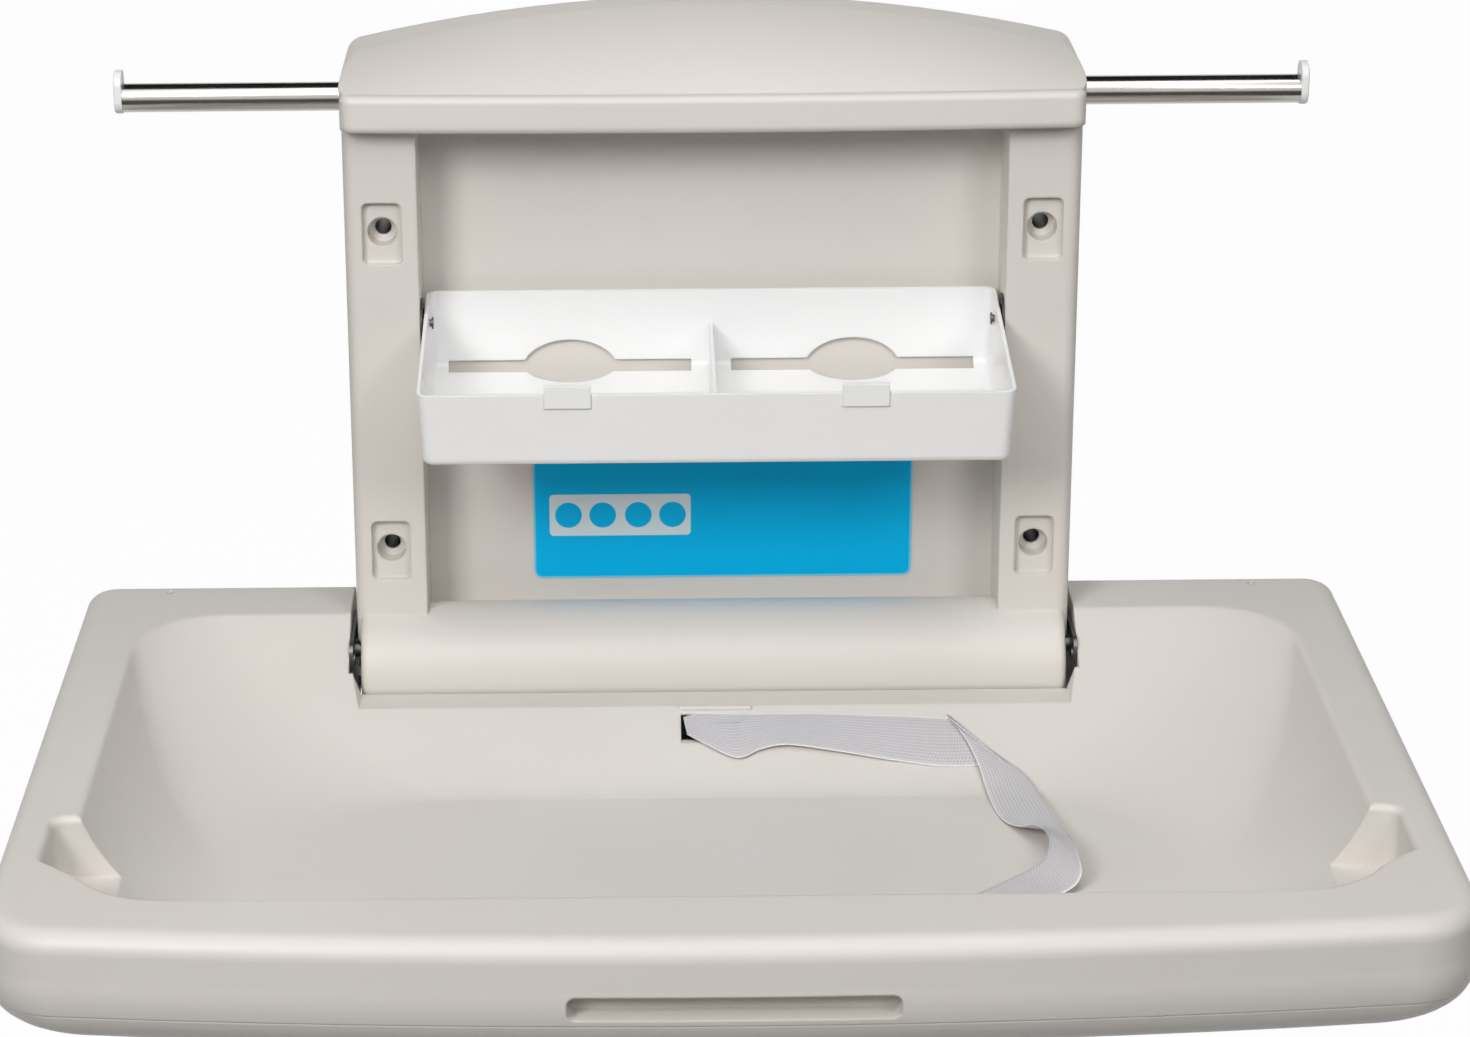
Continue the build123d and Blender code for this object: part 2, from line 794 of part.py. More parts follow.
def stop_dogs():
    """Arms that hang from the shaft and meet the stop blocks when the bed is down."""
    dogs = []
    for side in (-1, 1):
        x0, x1 = side_span(side, dog_x - dog_thick / 2, dog_x + dog_thick / 2)
        ring = rod_x(x0, x1, hinge_y, hinge_z, dog_ring_r)
        arm = block(x0, x1, hinge_y - dog_arm_deep / 2, hinge_y + dog_arm_deep / 2,
                    hinge_z - dog_arm, hinge_z)
        dogs.append(ring + arm - rod_x(x0, x1, hinge_y, hinge_z, shaft_r))
    return Compound(children=dogs)


def stop_blocks():
    """Steel blocks on the plate, behind the tips of the stop arms."""
    blocks = []
    low = hinge_z - dog_arm
    for side in (-1, 1):
        x0, x1 = side_span(side, dog_x - dog_thick / 2, dog_x + dog_thick / 2)
        blocks.append(block(x0, x1, hinge_y + dog_arm_deep / 2 + running_gap,
                            -cover_thick - plate_thick, low, low + stop_block_high))
    return Compound(children=blocks)


# Bed

def plan_face(z, half, rear, front, bow, rear_round, front_round):
    """Plan outline: straight sides and rear, bowed front, four rounded corners."""
    corners = [(-half, rear), (half, rear), (half, front + bow), (-half, front + bow)]
    if bow > 0:
        nose = ThreePointArc(corners[2], (0, front), corners[3])
    else:
        nose = Line(corners[2], corners[3])
    flat = make_face([Line(corners[0], corners[1]), Line(corners[1], corners[2]), nose,
                      Line(corners[3], corners[0])])
    flat = fillet(flat.vertices().sort_by(Axis.Y)[-2:], rear_round)
    flat = fillet(flat.vertices().sort_by(Axis.Y)[:2], front_round)
    return Pos(0, 0, z) * flat


def bed_form(inset):
    """Outer form of the bed: straight near the rim, drawn in towards the bottom."""
    top, low = rim_z - inset, rim_z - bed_straight
    rim = extrude(bed_level(low, inset, 0), amount=top - low)
    rim = fillet(rim.faces().sort_by(Axis.Z)[-1].edges(), bed_top_round - inset)
    drop = bed_high - bed_straight - inset
    levels = []
    for share in under_level_shares:
        depth = share * drop
        draw = bed_under_in * share ** under_curve_share
        levels.append(bed_level(low - depth, inset, draw))
    under = loft(levels)
    return rim + under


def bed_level(z, inset, draw):
    """Outline of the bed's lower half, drawn in by draw below its straight part."""
    return plan_face(z, bed_half - inset - draw, bed_rear - inset - draw * under_rear_share,
                     bed_front + inset + draw, bed_front_bow,
                     bed_rear_corner, bed_front_corner)


def run_share(depth_share, line_share):
    """Share of a tub wall's run that lies above one depth: a line mixed with a quarter round."""
    quarter = 1 - math.sqrt(max(0, 1 - depth_share ** 2))
    return line_share * depth_share + (1 - line_share) * quarter


def tub_form(grow):
    """Space of the tub, from just above the rim to its floor."""
    levels = []
    for share in tub_level_shares:
        side = tub_side_run * run_share(share, side_line_share)
        rear = tub_rear_run * run_share(share, rear_line_share)
        front = tub_front_run * share
        rear_round = tub_rear_corner + (tub_floor_rear_corner - tub_rear_corner) * share
        front_round = tub_front_corner + (tub_floor_front_corner - tub_front_corner) * share
        levels.append(plan_face(rim_z - share * (tub_deep + grow), tub_half - side + grow,
                                tub_rear - rear + grow, tub_front + front - grow, 0,
                                rear_round + grow, front_round + grow))
    body = loft(levels)
    mouth = extrude(plan_face(rim_z, tub_half + grow, tub_rear + grow, tub_front - grow, 0,
                              tub_rear_corner + grow, tub_front_corner + grow),
                    amount=cut_rise)
    return body + mouth


def rail_pocket(side, grow):
    """Corner pocket that takes one end of the hanger rail when the bed is shut."""
    outer = rail_half + cap_thick + rail_pocket_end_gap + grow
    inner = outer - rail_pocket_wide - 2 * grow
    rear, front = rail_shut_y + rail_pocket_behind + grow, rail_shut_y - rail_pocket_ahead - grow
    low = rim_z - rail_pocket_deep - grow
    points = [(inner, rear), (outer, rear), (outer, front),
              (outer - rail_pocket_slant_in, front - rail_pocket_slant_ahead),
              (inner, front - rail_pocket_slant_ahead)]
    flat = make_face(Polyline(*[(side * x, y) for x, y in points], close=True))
    outside = [v for v in flat.vertices() if abs(v.X) > outer - rail_pocket_slant_in / 2]
    flat = fillet(outside, rail_pocket_round)
    return extrude(Pos(0, 0, low) * flat, amount=rim_z + cut_rise - low)


def tub_space(grow):
    """Space of the tub and of both corner pockets."""
    return tub_form(grow) + rail_pocket(-1, grow) + rail_pocket(1, grow)


def hollowed_bed():
    """Outer form of the bed with the tub taken out and the rim's inner edge rounded."""
    form = bed_form(0) - tub_space(0)
    rim_edges = form.edges().filter_by(lambda e: abs(e.center().Z - rim_z) < wall)
    front, rear = bed_front + bed_front_bow + bed_top_round, bed_rear - bed_top_round
    mouth = [e for e in rim_edges if front + wall < e.center().Y < rear - wall
             and abs(e.center().X) < bed_half - bed_top_round - wall]
    return fillet(mouth, rim_inner_round)


def grip_cut(grow):
    """Finger grip in the front face."""
    z = rim_z - grip_below_rim
    return front_slab(-grip_half - grow, grip_half + grow, z - grip_high / 2 - grow,
                      z + grip_high / 2 + grow, grip_round + grow,
                      bed_front + grip_deep + grow, bed_front - cut_over)


def notch_cut(grow):
    """Rear cut-out that clears the roller, with the lowered strip in front of it."""
    half = notch_half + grow
    gap = block(-half, half, notch_front - grow, cut_over, bed_bottom - cut_over, rim_z + cut_over)
    low = strip_z - grow
    narrow = half - strip_side_in
    top = rim_z + cut_over
    step = rim_z - strip_z - (strip_side_in + notch_front - strip_front) / 2
    wide_at = low + step
    side = Polyline((-narrow, low), (narrow, low), (half, wide_at), (half, top), (-half, top),
                    (-half, wide_at), close=True)
    strip = extrude(Pos(0, cut_over, 0) * Rot(90, 0, 0) * make_face(side),
                    amount=cut_over - strip_front + grow)
    return gap + strip


def rear_slope(share):
    """Point on the tub's rear wall, in Y and Z, at a share of its depth."""
    y = tub_rear - tub_rear_run * run_share(share, rear_line_share)
    return y, rim_z - share * tub_deep


def strap_slots():
    """Slots for the strap: one in the sloping rear wall, one in the front wall."""
    rear_y = rear_slope(slot_low_share)[0]
    rear = block(-strap_slot_half, strap_slot_half, rear_y - cut_over, anchor_place()[0] + anchor_r,
                 rear_slope(slot_low_share)[1], rear_slope(slot_top_share)[1])
    front = block(-strap_slot_half, strap_slot_half, tub_front, tub_front + tub_front_run,
                  front_anchor_z - front_slot_high / 2, front_anchor_z + front_slot_high / 2)
    return [rear, front]


def slot_bead():
    """Raised bead just above the rear slot."""
    y, z = rear_slope(slot_top_share - slot_bead_up_share)
    reach = strap_slot_half + slot_bead_over
    bead = rod_x(-reach, reach, y, z, slot_bead_r)
    return fillet(bead.edges().filter_by(GeomType.CIRCLE), slot_bead_r / 2)


def bed_screw_places():
    """Screws under the bed: a front row, a rear pair and a row along each side."""
    front_y = bed_front + bed_screw_front_in
    front = [(sx * share * bed_half, front_y) for sx in (-1, 1) for share in bed_screw_front_shares]
    rear = [(sx * (bed_half - bed_screw_rear_side_in), bed_rear - bed_screw_rear_in)
            for sx in (-1, 1)]
    length = bed_rear - bed_front
    sides = [(sx * (bed_half - bed_screw_side_in), bed_rear - share * length)
             for sx in (-1, 1) for share in bed_screw_side_shares]
    return front + rear + sides


def bed_shells():
    """Upper and lower mouldings of the bed, thin all over."""
    full = hollowed_bed()
    hollow = bed_form(wall)
    zone = block(-bed_half - cut_over, bed_half + cut_over, bed_front - cut_over,
                 bed_rear + cut_over, parting_z, rim_z + cut_over)
    inner_skin = tub_space(wall)
    for cut, thick in ((notch_cut(0), notch_cut(wall)), (grip_cut(0), grip_cut(wall))):
        full -= cut
        inner_skin += thick
    hollow -= inner_skin
    zone += inner_skin
    for x, y in bed_screw_places():
        hollow -= rod_z(x, y, bed_bottom, rim_z, bed_boss_r)
    skin = full - hollow
    head_z = bed_bottom + bed_screw_sunk
    for x, y in bed_screw_places():
        skin -= rod_z(x, y, bed_bottom - cut_over, head_z, bed_screw_head_r + fine_gap)
        skin -= rod_z(x, y, head_z, head_z + bed_screw_long + skin_gap, bed_screw_r)
    skin += slot_bead()
    for slot in strap_slots():
        skin -= slot
    for side in (-1, 1):
        skin -= rod_z(side * (bed_half - vent_in), bed_rear - vent_ahead, rim_z - 2 * wall,
                      rim_z + cut_rise, vent_r)
        for y, z in plate_screw_places():
            skin -= rod_x(min(side * notch_half, side * (notch_half + 2 * wall)),
                          max(side * notch_half, side * (notch_half + 2 * wall)), y, z, plate_screw_r)
    return skin & zone, skin - zone


def bed_screws():
    """Screws that join the bed's two mouldings from below."""
    screws = []
    head_z = bed_bottom + bed_screw_sunk
    for x, y in bed_screw_places():
        head = rod_z(x, y, head_z - bed_screw_head, head_z, bed_screw_head_r)
        screws.append(head + rod_z(x, y, head_z, head_z + bed_screw_long, bed_screw_r))
    return Compound(children=screws)


def plate_screw_places():
    """Screws of one hinge plate, round the hinge axis."""
    return [(hinge_y + dy, hinge_z + dz) for dy in plate_screw_dy for dz in plate_screw_dz]


def hinge_plate(side):
    """Bright steel plate on the bed's cheek, which carries the shaft's end."""
    x0, x1 = side_span(side, notch_half - hinge_plate_thick, notch_half)
    flat = Rectangle(hinge_plate_ahead + hinge_plate_behind, hinge_plate_above + hinge_plate_below)
    flat = fillet(flat.vertices(), hinge_plate_round)
    middle_y = hinge_y + (hinge_plate_behind - hinge_plate_ahead) / 2
    middle_z = hinge_z + (hinge_plate_above - hinge_plate_below) / 2
    plate = side_slab(Pos(middle_y, middle_z) * flat, x0, x1)
    plate -= rod_x(x0 - cut_over, x1 + cut_over, hinge_y, hinge_z, shaft_r)
    for y, z in plate_screw_places():
        plate -= rod_x(x0 - cut_over, x1 + cut_over, y, z, plate_screw_r)
    return plate


def hinge_plate_screws():
    """Low-headed screws of both hinge plates."""
    screws = []
    face = notch_half - hinge_plate_thick
    for side in (-1, 1):
        h0, h1 = side_span(side, face - plate_screw_head, face)
        s0, s1 = side_span(side, face, face + plate_screw_long)
        for y, z in plate_screw_places():
            head = rod_x(h0, h1, y, z, plate_screw_head_r)
            screws.append(head + rod_x(s0, s1, y, z, plate_screw_r))
    return Compound(children=screws)


def frame_arm(side):
    """Steel arm of the bed's frame: an upright flange at the cheek and a flat bar below the tub."""
    near = notch_half + wall
    f0, f1 = side_span(side, near, near + flange_thick)
    low = bed_bottom + wall + fine_gap
    clear = wall + fine_gap
    slope = [rear_slope(share) for share in flange_shares]
    line = [(y + clear, z - clear) for y, z in slope]
    top = hinge_z + hinge_plate_above
    rear = bed_rear - flange_rear_in
    flange = Polyline((rear, low), (rear, top), *line, (line[-1][0], low), close=True)
    upright = side_slab(make_face(flange), f0, f1)
    b0, b1 = side_span(side, near, near + bar_wide)
    return upright + block(b0, b1, bed_front + bar_front_in, rear - bar_rear_in, low,
                           low + bar_thick)


def bed_frame():
    """Both arms joined by a crossbar behind the tub."""
    reach = notch_half + wall + flange_thick
    low = bed_bottom + wall + fine_gap
    middle = anchor_place()[0]
    bar = block(-reach, reach, middle - crossbar_deep / 2, middle + crossbar_deep / 2, low,
                low + crossbar_high)
    frame = frame_arm(-1) + frame_arm(1) + bar
    for side in (-1, 1):
        x0, x1 = side_span(side, notch_half, reach + cut_over)
        for y, z in plate_screw_places():
            frame -= rod_x(x0, x1, y, z, plate_screw_r)
    return frame


def anchor_place():
    """Centre of the strap's anchor bar, in Y and Z, behind the middle of the rear slot."""
    y, z = rear_slope((slot_top_share + slot_low_share) / 2)
    return y + anchor_behind, z


def strap_anchor():
    """Steel loop on the crossbar that the strap is sewn round."""
    anchor_y, anchor_z = anchor_place()
    base = bed_bottom + wall + fine_gap + crossbar_high
    bar = rod_x(-anchor_half, anchor_half, anchor_y, anchor_z, anchor_r)
    ears = []
    for side in (-1, 1):
        x0, x1 = side_span(side, anchor_half - anchor_thick, anchor_half)
        ears.append(block(x0, x1, anchor_y - anchor_r, anchor_y + anchor_r, base,
                          anchor_z + anchor_r))
    return bar + ears[0] + ears[1]


def front_anchor():
    """Steel loop behind the tub's front wall for the short strap."""
    bar = rod_x(-anchor_half, anchor_half, front_anchor_y, front_anchor_z, anchor_r)
    loop = bar
    for side in (-1, 1):
        x0, x1 = side_span(side, anchor_half - anchor_thick, anchor_half)
        loop += block(x0, x1, front_anchor_y - anchor_r, tub_front + tub_front_run,
                      front_anchor_z - anchor_r, front_anchor_z + anchor_r)
    return loop - tub_form(wall)


def webbing_ring(y, z, r, half):
    """Webbing turned round a bar that runs along X."""
    outer = rod_x(-half, half, y, z, r + skin_gap + strap_thick)
    return outer - rod_x(-half - cut_over, half + cut_over, y, z, r + skin_gap)


def ribbon(edges):
    """Webbing through pairs of edge points, each pair a straight cross-section."""
    sections = []
    count = len(edges)
    for i, (left, right) in enumerate(edges):
        a, b = Vector(*left), Vector(*right)
        before = edges[max(i - 1, 0)]
        after = edges[min(i + 1, count - 1)]
        ahead = (Vector(*after[0]) + Vector(*after[1])) - (Vector(*before[0]) + Vector(*before[1]))
        across = b - a
        normal = ahead.cross(across).normalized()
        lift = normal * (strap_thick / 2)
        sections.append(make_face(Polyline(a + lift, b + lift, b - lift, a - lift, close=True)))
    return loft(sections, ruled=True)


def tub_height(y):
    """Height of the tub's surface along its middle at a given Y."""
    low, high = 0.0, 1.0
    while high - low > fine_share:
        middle = (low + high) / 2
        if rear_slope(middle)[0] > y:
            low = middle
        else:
            high = middle
    return rear_slope(low)[1]


def strap():
    """Long strap: turned round its anchor, flat on the rear slope, then loose on the floor."""
    half = strap_wide / 2
    top, low = rear_slope(strap_top_share), rear_slope(strap_low_share)
    run = math.hypot(low[0] - top[0], low[1] - top[1])
    down = ((low[0] - top[0]) / run, (low[1] - top[1]) / run)
    out = (down[1], -down[0])
    lift = strap_lift + strap_thick / 2

    def on_slope(x, s):
        """Point of the strap's middle surface at x and at s down the slope."""
        return (x, top[0] + down[0] * s + out[0] * lift, top[1] + down[1] * s + out[1] * lift)

    corners = [on_slope(-half, 0), on_slope(strap_turn_x, 0),
               on_slope(strap_turn_x + strap_turn_lead, strap_wide), on_slope(-half, strap_wide)]
    shift = Vector(0, out[0] * strap_thick / 2, out[1] * strap_thick / 2)
    base = make_face(Polyline(*[Vector(*c) - shift for c in corners], close=True))
    flat = extrude(base, amount=strap_thick, dir=(0, out[0], out[1]))
    anchor_y, anchor_z = anchor_place()
    tongue_y = on_slope(0, (anchor_z - top[1]) / down[1])[1]
    tongue = block(-half, half, tongue_y, anchor_y, anchor_z - strap_thick / 2,
                   anchor_z + strap_thick / 2)
    tongue -= rod_x(-strap_wide, strap_wide, anchor_y, anchor_z, anchor_r + skin_gap)
    tongue += webbing_ring(anchor_y, anchor_z, anchor_r, half)
    x = strap_turn_x - strap_thick
    loose = [(on_slope(x, 0), on_slope(x + strap_turn_lead, strap_wide))]
    for left_x, left_y, left_rise, right_x, right_y, right_rise in strap_pairs:
        ends = []
        for px, py, rise in ((left_x, left_y, left_rise), (right_x, right_y, right_rise)):
            y = tub_rear + py
            ends.append((px, y, tub_height(y) + lift + rise))
        loose.append(tuple(ends))
    return flat + tongue + ribbon(loose) + place_plug(buckle_webbing())


def front_strap():
    """Short strap from the front wall to the buckle's socket."""
    half = strap_wide / 2
    t = strap_thick
    rest = floor_z + strap_lift
    z = front_anchor_z - t / 2
    end = socket_y
    drop_y = tub_front + tub_front_run + front_strap_lead
    side = Polyline((front_anchor_y, z), (drop_y, z), (drop_y + front_strap_lead, rest),
                    (end, rest), (end, rest + t), (drop_y + front_strap_lead, rest + t),
                    (drop_y, z + t), (front_anchor_y, z + t), close=True)
    flat = side_slab(make_face(side), -half, half)
    flat -= rod_x(-strap_wide, strap_wide, front_anchor_y, front_anchor_z, anchor_r + skin_gap)
    ring = webbing_ring(front_anchor_y, front_anchor_z, anchor_r, half)
    return flat + ring + place_socket(buckle_webbing())


# Liner tray, drawn level about its pivot and then tilted

def tray_plan(z, inset):
    """Plan outline of the tray at a height above its pivot: a rectangle that narrows to the front."""
    down = (tray_pivot_down - z) / tray_rear_high
    rear_half = tray_half - tray_rear_taper * down - inset
    front_half = tray_half + tray_front_out - tray_front_taper * down - inset
    rear = tray_pivot_in - inset
    front = tray_pivot_in - tray_long + tray_lean * down + inset
    flat = make_face(Polyline((-rear_half, rear), (rear_half, rear), (front_half, front),
                              (-front_half, front), close=True))
    return Pos(0, 0, z) * fillet(flat.vertices(), tray_round - inset)


def tray_form(inset):
    """Closed form of the tray, drawn in by its wall's thickness when inset is given."""
    low = tray_pivot_down - tray_rear_high + inset
    high = tray_pivot_down + (cut_over if inset > 0 else 0)
    form = loft([tray_plan(low, inset), tray_plan(high, inset)])
    return fillet(form.faces().sort_by(Axis.Z)[0].edges(), tray_foot_round - inset)


def tray_slots():
    """Liner slots along the corner between the rear wall and the floor, each with its oval."""
    low = tray_pivot_down - tray_rear_high
    rear = tray_pivot_in
    cuts = []
    for side in (-1, 1):
        x = side * tray_slot_x
        cuts.append(block(x - tray_slot_half, x + tray_slot_half, rear - tray_wall - slot_in,
                          rear + cut_over, low - cut_over, low + tray_wall + slot_up))
        up = Pos(x, rear + cut_over, low) * Rot(90, 0, 0) * Ellipse(oval_half, oval_up + tray_wall)
        cuts.append(extrude(up, amount=cut_over + tray_wall + slot_up))
        flat = Pos(x, rear, low - cut_over) * Ellipse(oval_half, oval_in + tray_wall)
        cuts.append(extrude(flat, amount=cut_over + tray_wall + slot_up))
    return cuts


def liner_tray():
    """Open tray with two compartments."""
    low = tray_pivot_down - tray_rear_high
    front = tray_pivot_in - tray_long
    front_rim = low + tray_front_high
    tray = tray_form(0) - tray_form(tray_wall)
    above = Polyline((tray_pivot_in + cut_over, tray_pivot_down), (tray_pivot_in, tray_pivot_down),
                     (front, front_rim), (front - cut_over, front_rim),
                     (front - cut_over, tray_pivot_down + 2 * cut_over),
                     (tray_pivot_in + cut_over, tray_pivot_down + 2 * cut_over), close=True)
    tray -= side_slab(make_face(above), -tray_half - cut_over, tray_half + cut_over)
    divider = block(-divider_thick / 2, divider_thick / 2, front, tray_pivot_in, low,
                    tray_pivot_down - divider_drop)
    tray += divider & tray_form(tray_wall / 2)
    for side in (-1, 1):
        x0, x1 = side_span(side, tray_slot_x - tab_half, tray_slot_x + tab_half)
        tray += block(x0, x1, front - tab_out, front + tray_wall, front_rim - tab_high,
                      front_rim + tab_up)
    for cut in tray_slots():
        tray -= cut
    for side in (-1, 1):
        x0, x1 = side_span(side, tray_half - tray_round - tray_wall, tray_half + cut_over)
        tray -= rod_x(x0, x1, 0, 0, tray_pin_r)
        slot = SlotCenterToCenter(catch_long, 2 * catch_r, rotation=90)
        tray -= side_slab(Pos(tray_pivot_in - catch_in, -catch_down) * slot, x0, x1)
    return place_tray(tray)


def place_tray(shape):
    """Tilt a piece that is drawn level about the pivot, and move it to the pivot."""
    return Pos(0, tray_pivot_y, tray_pivot_z) * Rot(tray_tilt, 0, 0) * shape


def tray_pin(side):
    """Headed pin pressed into the tray's side, which turns in the bracket's hub."""
    inner = tray_half - tray_wall - tray_rear_taper
    head0, head1 = side_span(side, inner - tray_pin_head, inner)
    s0, s1 = side_span(side, inner, recess_half - fine_gap)
    head = rod_x(head0, head1, tray_pivot_y, tray_pivot_z, tray_pin_head_r)
    return head + rod_x(s0, s1, tray_pivot_y, tray_pivot_z, tray_pin_r)


def bracket_screw_places():
    """Screws of one tray bracket, above and below the pivot."""
    return [(tray_pivot_y, tray_pivot_z + turn * tray_bracket_screw_out) for turn in (-1, 1)]


def tray_bracket(side):
    """Dark steel disc on the recess wall, with a hub for the tray's pin."""
    d0, d1 = side_span(side, recess_half - tray_bracket_thick, recess_half)
    h0, h1 = side_span(side, recess_half - tray_bracket_thick - tray_bracket_hub, recess_half)
    disc = rod_x(d0, d1, tray_pivot_y, tray_pivot_z, tray_bracket_r)
    disc += rod_x(h0, h1, tray_pivot_y, tray_pivot_z, tray_bracket_hub_r)
    disc -= rod_x(h0 - cut_over, h1 + cut_over, tray_pivot_y, tray_pivot_z,
                  tray_pin_r + running_gap)
    for y, z in bracket_screw_places():
        disc -= rod_x(d0, d1, y, z, tray_bracket_screw_r)
    return disc


def tray_bracket_screws():
    """Screws of both tray brackets."""
    screws = []
    face = recess_half - tray_bracket_thick
    for side in (-1, 1):
        h0, h1 = side_span(side, face - tray_bracket_screw_head, face)
        s0, s1 = side_span(side, face, face + tray_bracket_screw_long)
        for y, z in bracket_screw_places():
            head = rod_x(h0, h1, y, z, tray_bracket_screw_head_r)
            screws.append(head + rod_x(s0, s1, y, z, tray_bracket_screw_r))
    return Compound(children=screws)


def label_plate():
    """Bare printed plate on the recess's back."""
    low = roller_z + label_above_roller
    return front_slab(-recess_half + label_left_in, recess_half - label_right_in, low,
                      low + label_tall, label_round, -recess_back, -recess_back - label_thick)


# Buckle halves, drawn from the webbing's end along Y and then placed

def buckle_body(long):
    """Rounded body of a buckle half, with a bar at one end for the webbing."""
    half = buckle_wide / 2
    body = block(-half, half, 0, long, 0, buckle_high)
    body = fillet(body.edges().filter_by(Axis.Z), buckle_corner)
    body = fillet(body.faces().sort_by(Axis.Z)[-1].edges(), buckle_edge)
    reach = strap_wide / 2 + fine_gap
    gap = skin_gap + strap_thick + fine_gap
    body -= block(-reach, reach, buckle_bar, buckle_bar + gap, -cut_over, cut_over)
    body -= block(-reach, reach, -cut_over, buckle_bar, -cut_over, buckle_bar_low)
    return body - block(-reach, reach, -cut_over, buckle_bar, buckle_bar_top, cut_over)


def buckle_webbing():
    """Webbing turned round a buckle's bar."""
    half = strap_wide / 2
    near, far = skin_gap, skin_gap + strap_thick
    outer = block(-half, half, -far, buckle_bar + far, buckle_bar_low - far, buckle_bar_top + far)
    outer = fillet(outer.edges().filter_by(Axis.X), far)
    return outer - block(-strap_wide, strap_wide, -near, buckle_bar + near, buckle_bar_low - near,
                         buckle_bar_top + near)


def place_socket(shape):
    """Move a piece from the buckle's own place to the end of the short strap."""
    return Pos(0, socket_y, floor_z + skin_gap) * shape


def place_plug(shape):
    """Move a piece from the buckle's own place to the end of the long strap."""
    return Pos(plug_x, plug_y, floor_z + skin_gap) * Rot(0, 0, 90) * shape


def buckle_socket():
    """Socket half, open at its far end, with a window in each side for the plug's arms."""
    half = buckle_wide / 2
    body = buckle_body(socket_long)
    inner = half - buckle_side
    skin = (buckle_high - buckle_mouth_high) / 2
    body -= block(-inner, inner, socket_long - socket_deep, socket_long + cut_over, skin,
                  buckle_high - skin)
    for side in (-1, 1):
        x0, x1 = side_span(side, inner - buckle_side, half + cut_over)
        body -= block(x0, x1, socket_long - socket_deep + buckle_side,
                      socket_long - socket_window_in, skin, buckle_high - skin)
    return place_socket(body)


def buckle_plug():
    """Plug half with two sprung arms and a guide between them."""
    body = buckle_body(plug_base)
    low = (buckle_high - arm_high) / 2
    inner = buckle_wide / 2 - buckle_side - fine_gap
    for side in (-1, 1):
        x0, x1 = side_span(side, inner - arm_barb - arm_wide, inner - arm_barb)
        body += block(x0, x1, plug_base, plug_base + arm_long, low, low + arm_high)
        x0, x1 = side_span(side, inner - arm_barb - arm_wide, inner)
        body += block(x0, x1, plug_base + arm_long - arm_tip, plug_base + arm_long, low,
                      low + arm_high)
    body += block(-guide_wide / 2, guide_wide / 2, plug_base, plug_base + guide_long, low,
                  low + arm_high)
    return place_plug(body)


def export(shape, name):
    """Write one named piece."""
    export_step(shape, f"parts/{name}.step")


def main():
    """Build and write every piece."""
    os.makedirs("parts", exist_ok=True)
    pieces = {
        "front_moulding": front_moulding(),
        "back_cover": back_cover(),
        "cover_screws": cover_screws(),
        "steel_plate": steel_plate(),
        "mounting_sleeves": sleeves(),
        "rail_tube": rail_tube(),
        "rail_cap_left": rail_cap(-1),
        "rail_cap_right": rail_cap(1),
        "rail_saddles": rail_saddles(),
        "bearing_bracket_left": bearing_bracket(-1),
        "bearing_bracket_right": bearing_bracket(1),
        "hinge_bush_left": hinge_bush(-1),
        "hinge_bush_right": hinge_bush(1),
        "hinge_shaft": hinge_shaft(),
        "damper_left": damper_housing(-1),
        "damper_right": damper_housing(1),
        "damper_rotor_left": damper_rotor(-1),
        "damper_rotor_right": damper_rotor(1),
        "damper_screws": damper_screws(),
        "stop_dogs": stop_dogs(),
        "stop_blocks": stop_blocks(),
        "hinge_plate_left": hinge_plate(-1),
        "hinge_plate_right": hinge_plate(1),
        "hinge_plate_screws": hinge_plate_screws(),
        "bed_frame": bed_frame(),
        "bed_screws": bed_screws(),
        "strap_anchor": strap_anchor(),
        "front_anchor": front_anchor(),
        "strap": strap(),
        "front_strap": front_strap(),
        "buckle_socket": buckle_socket(),
        "buckle_plug": buckle_plug(),
        "liner_tray": liner_tray(),
        "tray_pin_left": tray_pin(-1),
        "tray_pin_right": tray_pin(1),
        "tray_bracket_left": tray_bracket(-1),
        "tray_bracket_right": tray_bracket(1),
        "tray_bracket_screws": tray_bracket_screws(),
        "label_plate": label_plate(),
    }
    upper, lower = bed_shells()
    pieces["bed_top_shell"] = upper
    pieces["bed_bottom_shell"] = lower
    for name, shape in pieces.items():
        export(shape, name)


main()
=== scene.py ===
"""Dresses the fold-down changing table: studio, camera, finishes and the woven strap.

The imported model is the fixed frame. Each class holds the sizes of one sub-assembly in metres and
builds or dresses its pieces. The table hangs on a wall at Y = 0, with +X to the right along the
wall, +Y into the wall and +Z up.
"""

import json
import logging
import math
from dataclasses import dataclass, field
from enum import Enum
from typing import Optional, Sequence

import bpy
import numpy as np
from mathutils import Matrix, Vector

